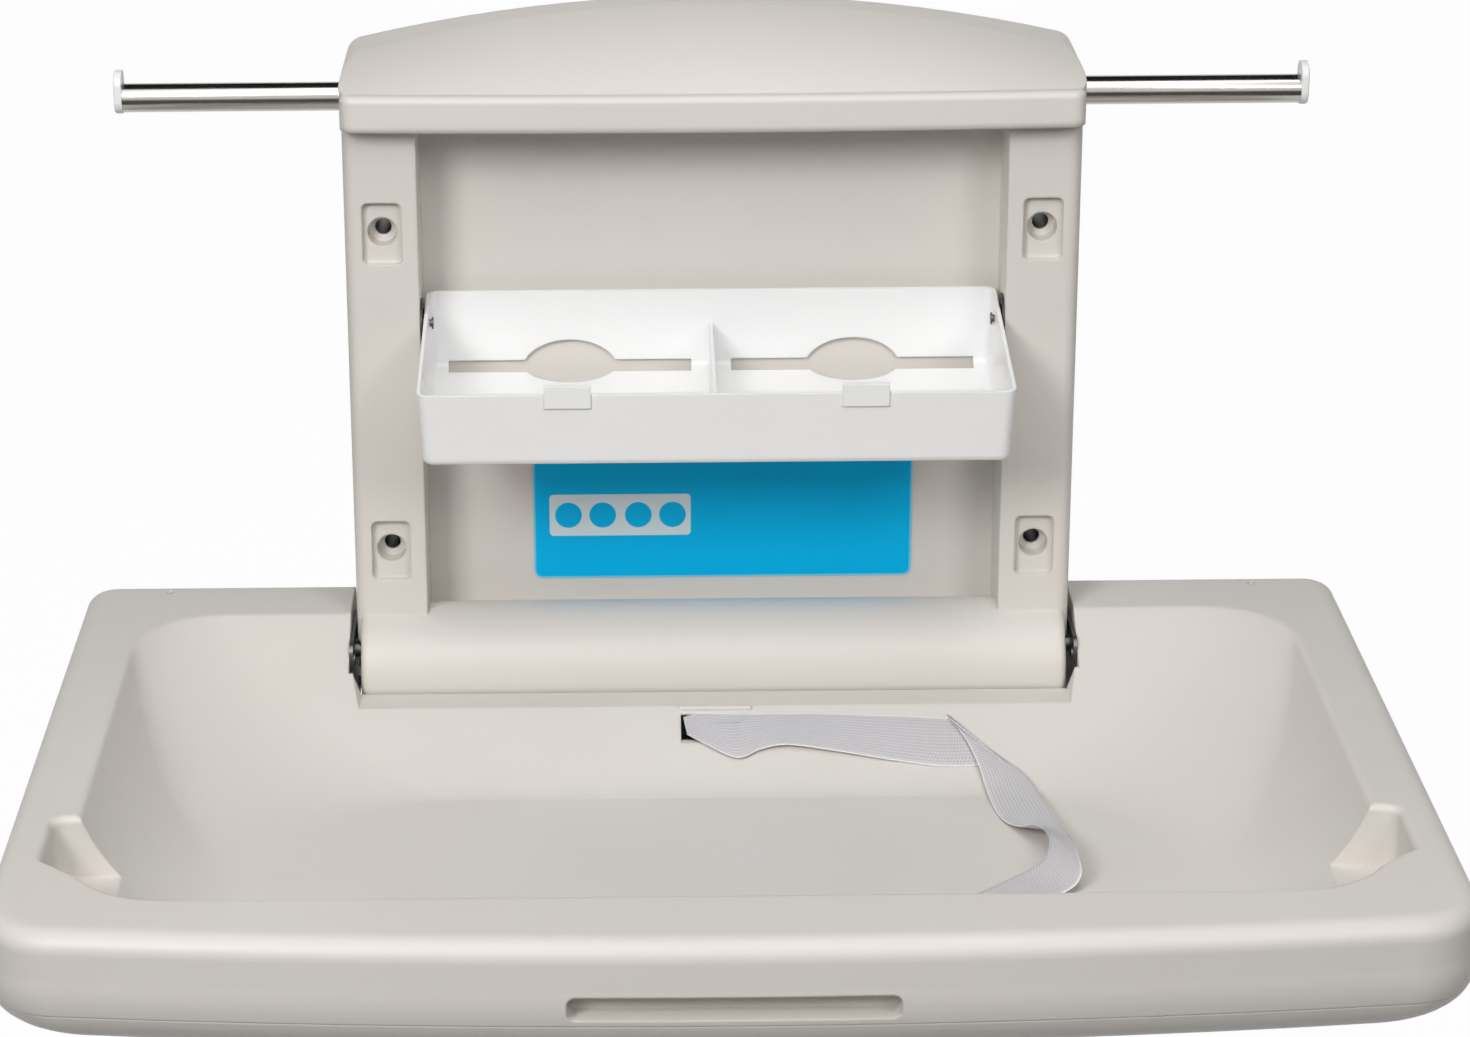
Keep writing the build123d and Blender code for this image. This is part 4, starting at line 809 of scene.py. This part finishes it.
def webbing_mesh(name: str, left: np.ndarray, right: np.ndarray, thick: float, columns: int = 14,
                 edge_power: int = 8, edge_least: float = 0.12) -> bpy.types.Mesh:
    """Turn two edge curves into closed webbing with rounded selvedges.

    A row runs once round the section: over the face, round one edge, back and round the other.
    The thickness falls off towards the edges as the root of 1 less a power of the share across.

    Args:
        name: Mesh name.
        left: Points along the left edge.
        right: Points along the right edge, as many.
        thick: Thickness of the webbing.
        columns: Points laid over each face.
        edge_power: Power of the share across.
        edge_least: Least value under the root, which keeps the edge from closing to a line.

    Returns:
        The mesh, with its map in metres.
    """
    middle = (left + right) / 2
    ahead = np.gradient(middle, axis=0)
    across = right - left
    width = np.linalg.norm(across, axis=1)
    normal = np.cross(across, ahead)
    normal /= np.linalg.norm(normal, axis=1)[:, None]
    share = np.concatenate([np.linspace(-1, 1, columns), np.linspace(1, -1, columns)])
    bulge = np.sqrt(np.clip(1 - share ** edge_power, edge_least, 1)) * thick / 2
    side = np.concatenate([np.ones(columns), -np.ones(columns)])
    points = (middle[:, None] + across[:, None] * (share[None, :, None] / 2)
              + normal[:, None] * (bulge * side)[None, :, None])
    points = np.concatenate([points, points[:, :1]], axis=1)
    along = np.concatenate([[0], np.cumsum(np.linalg.norm(np.diff(middle, axis=0), axis=1))])
    share = np.append(share, share[0])
    return grid_mesh(name, points, share * float(np.median(width)) / 2, along)


@dataclass
class Straps:
    """The long strap as it lies in the tub, the short strap and their hidden ends.

    Each station of the long strap gives its left and right edge: X, Y measured from the tub's rear
    rim, and the height above the tub's surface, in metres. The routes are steps along Y and Z:
    mouth_route from the slot's mouth, down_route from the front anchor, and floor_from and floor_on
    from the tub's floor below that anchor.
    """

    width: float = 0.038
    thick: float = 0.0013
    rim: float = -0.160
    tub_rear: float = -0.074
    tub_run: float = 0.140
    tub_deep: float = 0.078
    line_share: float = 0.8
    lift: float = 0.0009
    fold_radius: float = 0.0021
    slope_samples: int = 600
    curve_steps: int = 8
    level_steps: int = 5
    slope_stations: tuple[tuple[float, ...], ...] = (
        (-0.0215, -0.0765, 0.001, -0.0190, -0.0890, 0.001),
        (-0.0100, -0.0745, 0.002, -0.0060, -0.0980, 0.002),
        (0.0060, -0.0740, 0.001, 0.0140, -0.1080, 0.002),
        (0.0260, -0.0735, 0.000, 0.0300, -0.1025, 0.003),
        (0.0480, -0.0735, 0.000, 0.0480, -0.1005, 0.004),
        (0.0800, -0.0740, 0.000, 0.0800, -0.1045, 0.003),
        (0.1150, -0.0755, 0.000, 0.1180, -0.1100, 0.001),
        (0.1360, -0.0765, 0.000, 0.1520, -0.1140, 0.000),
        (0.1540, -0.0780, 0.000, 0.1870, -0.1130, 0.000),
    )
    loose_stations: tuple[tuple[float, ...], ...] = (
        (0.1610, -0.0880, 0.0040, 0.1955, -0.1170, 0.0030),
        (0.1675, -0.1010, 0.0045, 0.2030, -0.1240, 0.0030),
        (0.1735, -0.1200, 0.0045, 0.2085, -0.1360, 0.0035),
        (0.1765, -0.1380, 0.0030, 0.2120, -0.1510, 0.0035),
        (0.1790, -0.1600, 0.0008, 0.2150, -0.1720, 0.0050),
        (0.1835, -0.1820, 0.0008, 0.2170, -0.2000, 0.0085),
        (0.1910, -0.1990, 0.0040, 0.2185, -0.2240, 0.0125),
        (0.1990, -0.2160, 0.0130, 0.2200, -0.2460, 0.0170),
        (0.2045, -0.2310, 0.0160, 0.2210, -0.2660, 0.0180),
        (0.2068, -0.2440, 0.0140, 0.2222, -0.2790, 0.0160),
        (0.2045, -0.2540, 0.0095, 0.2225, -0.2870, 0.0120),
        (0.1985, -0.2600, 0.0055, 0.2200, -0.2910, 0.0075),
        (0.1900, -0.2650, 0.0028, 0.2145, -0.2945, 0.0040),
        (0.1780, -0.2730, 0.0010, 0.2030, -0.3015, 0.0015),
        (0.1610, -0.2880, 0.0003, 0.1840, -0.3180, 0.0003),
        (0.1390, -0.3020, 0.0003, 0.1540, -0.3370, 0.0003),
        (0.1120, -0.3160, 0.0003, 0.1160, -0.3540, 0.0003),
        (0.0870, -0.3180, 0.0010, 0.0870, -0.3560, 0.0010),
    )
    anchor_behind: float = 0.026
    anchor_share: float = 0.675
    anchor_r: float = 0.0030
    play: float = 0.0006
    bar_in: float = 0.0020
    bar_up: float = 0.0055
    bar_reach: tuple[float, float] = (0.0030, 0.0035)
    bar_power: float = 0.5
    mouth_route: tuple[tuple[float, float], ...] = ((0.008, 0.003), (0.001, 0.0035))
    down_route: tuple[tuple[float, float], ...] = ((0.010, 0.0005), (0.018, -0.0010))
    floor_from: tuple[float, float] = (0.027, 0.0030)
    floor_on: tuple[float, float] = (0.034, 0.0014)
    socket_lead: float = 0.007

    def tub_height(self, y: np.ndarray) -> np.ndarray:
        """Give the height of the tub's surface along its middle.

        Args:
            y: Places along Y.

        Returns:
            Heights, as many.
        """
        share = np.linspace(0, 1, self.slope_samples)
        return np.interp(-y, self.tub_run * self.slope_run(share) - self.tub_rear,
                         self.rim - self.tub_deep * share)

    def slope_run(self, share: np.ndarray | float) -> np.ndarray | float:
        """Give the slope's run at a share of its depth: a line mixed with a quarter circle."""
        quarter = 1 - np.sqrt(1 - share ** 2)
        return self.line_share * share + (1 - self.line_share) * quarter

    def edge(self, stations: np.ndarray) -> np.ndarray:
        """Lay one edge of the strap: smooth in plan, and raised from the tub by its rises.

        Args:
            stations: X, Y and rise of each station.

        Returns:
            Array of points along the edge.
        """
        path = smooth_path(stations, self.curve_steps)
        y = self.tub_rear + path[:, 1]
        return np.stack([path[:, 0], y, self.tub_height(y) + self.lift + path[:, 2]], axis=1)

    def fold(self, left: np.ndarray, right: np.ndarray, steps: int = 9
             ) -> tuple[np.ndarray, np.ndarray]:
        """Roll the webbing over its fold line, by half a turn.

        Args:
            left: Fold line's upper end.
            right: Fold line's lower end.
            steps: Rows in the half turn.

        Returns:
            Left and right points of the rows.
        """
        line = (right - left) / np.linalg.norm(right - left)
        y = np.array([left[1], right[1]])
        slope = np.array([0.0, y[1] - y[0], float(np.diff(self.tub_height(y))[0])])
        normal = np.cross(np.array([1.0, 0.0, 0.0]), slope)
        normal *= np.sign(normal[2]) / np.linalg.norm(normal)
        outward = np.cross(line, normal)
        outward *= np.sign(outward[0])
        angle = np.linspace(0, math.pi, steps + 2)[1:-1, None]
        rolled = self.fold_radius * (np.sin(angle) * outward + (1 - np.cos(angle)) * normal)
        return left + rolled, right + rolled

    def long_strap(self) -> bpy.types.Object:
        """Build the strap from the slot to the plug as one length with its fold.

        Returns:
            The new piece.
        """
        slope = np.array(self.slope_stations)
        loose = np.array(self.loose_stations)
        flat_left, flat_right = self.edge(slope[:, :3]), self.edge(slope[:, 3:])
        roll_left, roll_right = self.fold(flat_left[-1], flat_right[-1])
        low_left, low_right = self.edge(loose[:, :3]), self.edge(loose[:, 3:])
        left = np.vstack([flat_left, roll_left, low_left])
        right = np.vstack([flat_right, roll_right, low_right])
        return self.piece("strap_webbing", left, right)

    def piece(self, name: str, left: np.ndarray, right: np.ndarray) -> bpy.types.Object:
        """Make an object from two edges and let it ride on the bed.

        Args:
            name: Piece's name.
            left: Points along the left edge.
            right: Points along the right edge, as many.

        Returns:
            The new piece.
        """
        piece = bpy.data.objects.new(name, webbing_mesh(name, left, right, self.thick))
        bpy.context.collection.objects.link(piece)
        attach(piece, Body.BED.value)
        return piece

    def level_piece(self, name: str, route: np.ndarray) -> bpy.types.Object:
        """Make webbing that lies level across.

        Args:
            name: Piece's name.
            route: Y and Z of each station along it.

        Returns:
            The new piece.
        """
        path = smooth_path(route, self.level_steps)
        half = np.full(len(path), self.width / 2)
        return self.piece(name, np.column_stack([-half, path]), np.column_stack([half, path]))

    def wrap(self, centre: tuple[float, float], reach: tuple[float, float], start: float,
             sweep: float, power: float = 1.0, steps: int = 16) -> np.ndarray:
        """Lay points round a bar: a circle for a power of 1, squarer below that.

        Args:
            centre: Middle of the bar in the plane across it.
            reach: Half width and half height of the turn.
            start: Angle of the first point in degrees.
            sweep: Angle covered in degrees.
            power: Power of the sine and cosine.
            steps: Number of points.

        Returns:
            Array of points in the plane across the bar.
        """
        angle = np.radians(np.linspace(start, start + sweep, steps))
        turns = np.stack([np.cos(angle), np.sin(angle)], axis=1)
        return np.array(centre) + np.sign(turns) * np.abs(turns) ** power * np.array(reach)

    def tail(self) -> bpy.types.Object:
        """Build the hidden end: a turn round the anchor bar and the way out through the slot.

        Returns:
            The new piece.
        """
        mouth = self.tub_rear - self.tub_run * self.slope_run(self.anchor_share)
        bar = (mouth + self.anchor_behind, self.rim - self.tub_deep * self.anchor_share)
        ring = self.wrap(bar, self.ring_reach(), start=-150.0, sweep=300.0)
        out = np.array((mouth, bar[1])) + np.array(self.mouth_route)
        return self.level_piece("strap_tail", np.vstack([ring, out]))

    def ring_reach(self) -> tuple[float, float]:
        """Give the half width and height of the webbing's turn round an anchor bar."""
        reach = self.anchor_r + self.thick / 2 + self.play
        return reach, reach

    def plug_loop(self) -> bpy.types.Object:
        """Build the turn of webbing round the plug's bar, which runs along Y.

        Returns:
            The new piece.
        """
        low, high = (np.array(corner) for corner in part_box("buckle_plug"))
        centre = (high[0] - self.bar_in, low[2] + self.bar_up)
        path = self.wrap(centre, self.bar_reach, start=-20.0, sweep=330.0, power=self.bar_power)
        middle = (low[1] + high[1]) / 2
        edges = [np.column_stack([path[:, 0], np.full(len(path), middle + side * self.width / 2),
                                  path[:, 1]]) for side in (1, -1)]
        return self.piece("strap_plug_loop", *edges)

    def short_strap(self) -> bpy.types.Object:
        """Build the short strap: round its anchor, over the floor and round the socket's bar.

        Returns:
            The new piece.
        """
        low, high = (np.array(corner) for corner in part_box("front_anchor"))
        anchor = (high[1] - self.anchor_r, (low[2] + high[2]) / 2)
        ring = self.wrap(anchor, self.ring_reach(), start=160.0, sweep=-270.0)
        socket = np.array(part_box("buckle_socket")[0])
        floor = (anchor[0], self.rim - self.tub_deep)
        bar = (socket[1] + self.bar_in, socket[2] + self.bar_up)
        down = np.array(anchor) + np.array(self.down_route)
        over = np.array(floor) + np.array([self.floor_from, self.floor_on])
        end = [[bar[0] - self.socket_lead, floor[1] + self.floor_on[1]]]
        loop = self.wrap(bar, self.bar_reach, start=200.0, sweep=-330.0, power=self.bar_power)
        return self.level_piece("strap_short", np.vstack([ring, down, over, end, loop]))

    def build(self) -> list[bpy.types.Object]:
        """Build every length of webbing and hide the solids that it stands for.

        Returns:
            The new pieces.
        """
        long_strap, short_strap = self.long_strap(), self.short_strap()
        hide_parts("strap")
        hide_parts("front_strap")
        return [long_strap, short_strap, self.tail(), self.plug_loop()]


@dataclass
class Dresser:
    """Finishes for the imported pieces, and the objects that wear them."""

    frame: dict
    finishes: dict[Finish, bpy.types.Material] = field(default_factory=dict)

    def prepare(self) -> None:
        """Build every finish once."""
        for finish in Finish:
            self.finishes[finish] = finish.value.build()

    def dress(self) -> None:
        """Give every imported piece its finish."""
        for finish, names in WEAR.items():
            for name in names:
                self.cover(self.frame["nodes"][name], finish)

    def cover(self, piece: bpy.types.Object, finish: Finish) -> None:
        """Give one object its finish.

        Args:
            piece: The object.
            finish: The finish that it wears.
        """
        piece.data.materials.clear()
        piece.data.materials.append(self.finishes[finish])
        LOG.info("%s wears %s", piece.name, finish.value.name)


def main() -> None:
    """Build the studio, the finishes and the pieces."""
    logging.basicConfig(level=logging.INFO, format="%(message)s")
    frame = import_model()
    Studio().build()
    dresser = Dresser(frame)
    dresser.prepare()
    dresser.dress()
    for piece in Straps().build():
        dresser.cover(piece, Finish.WEBBING)


if __name__ == "__main__":
    main()
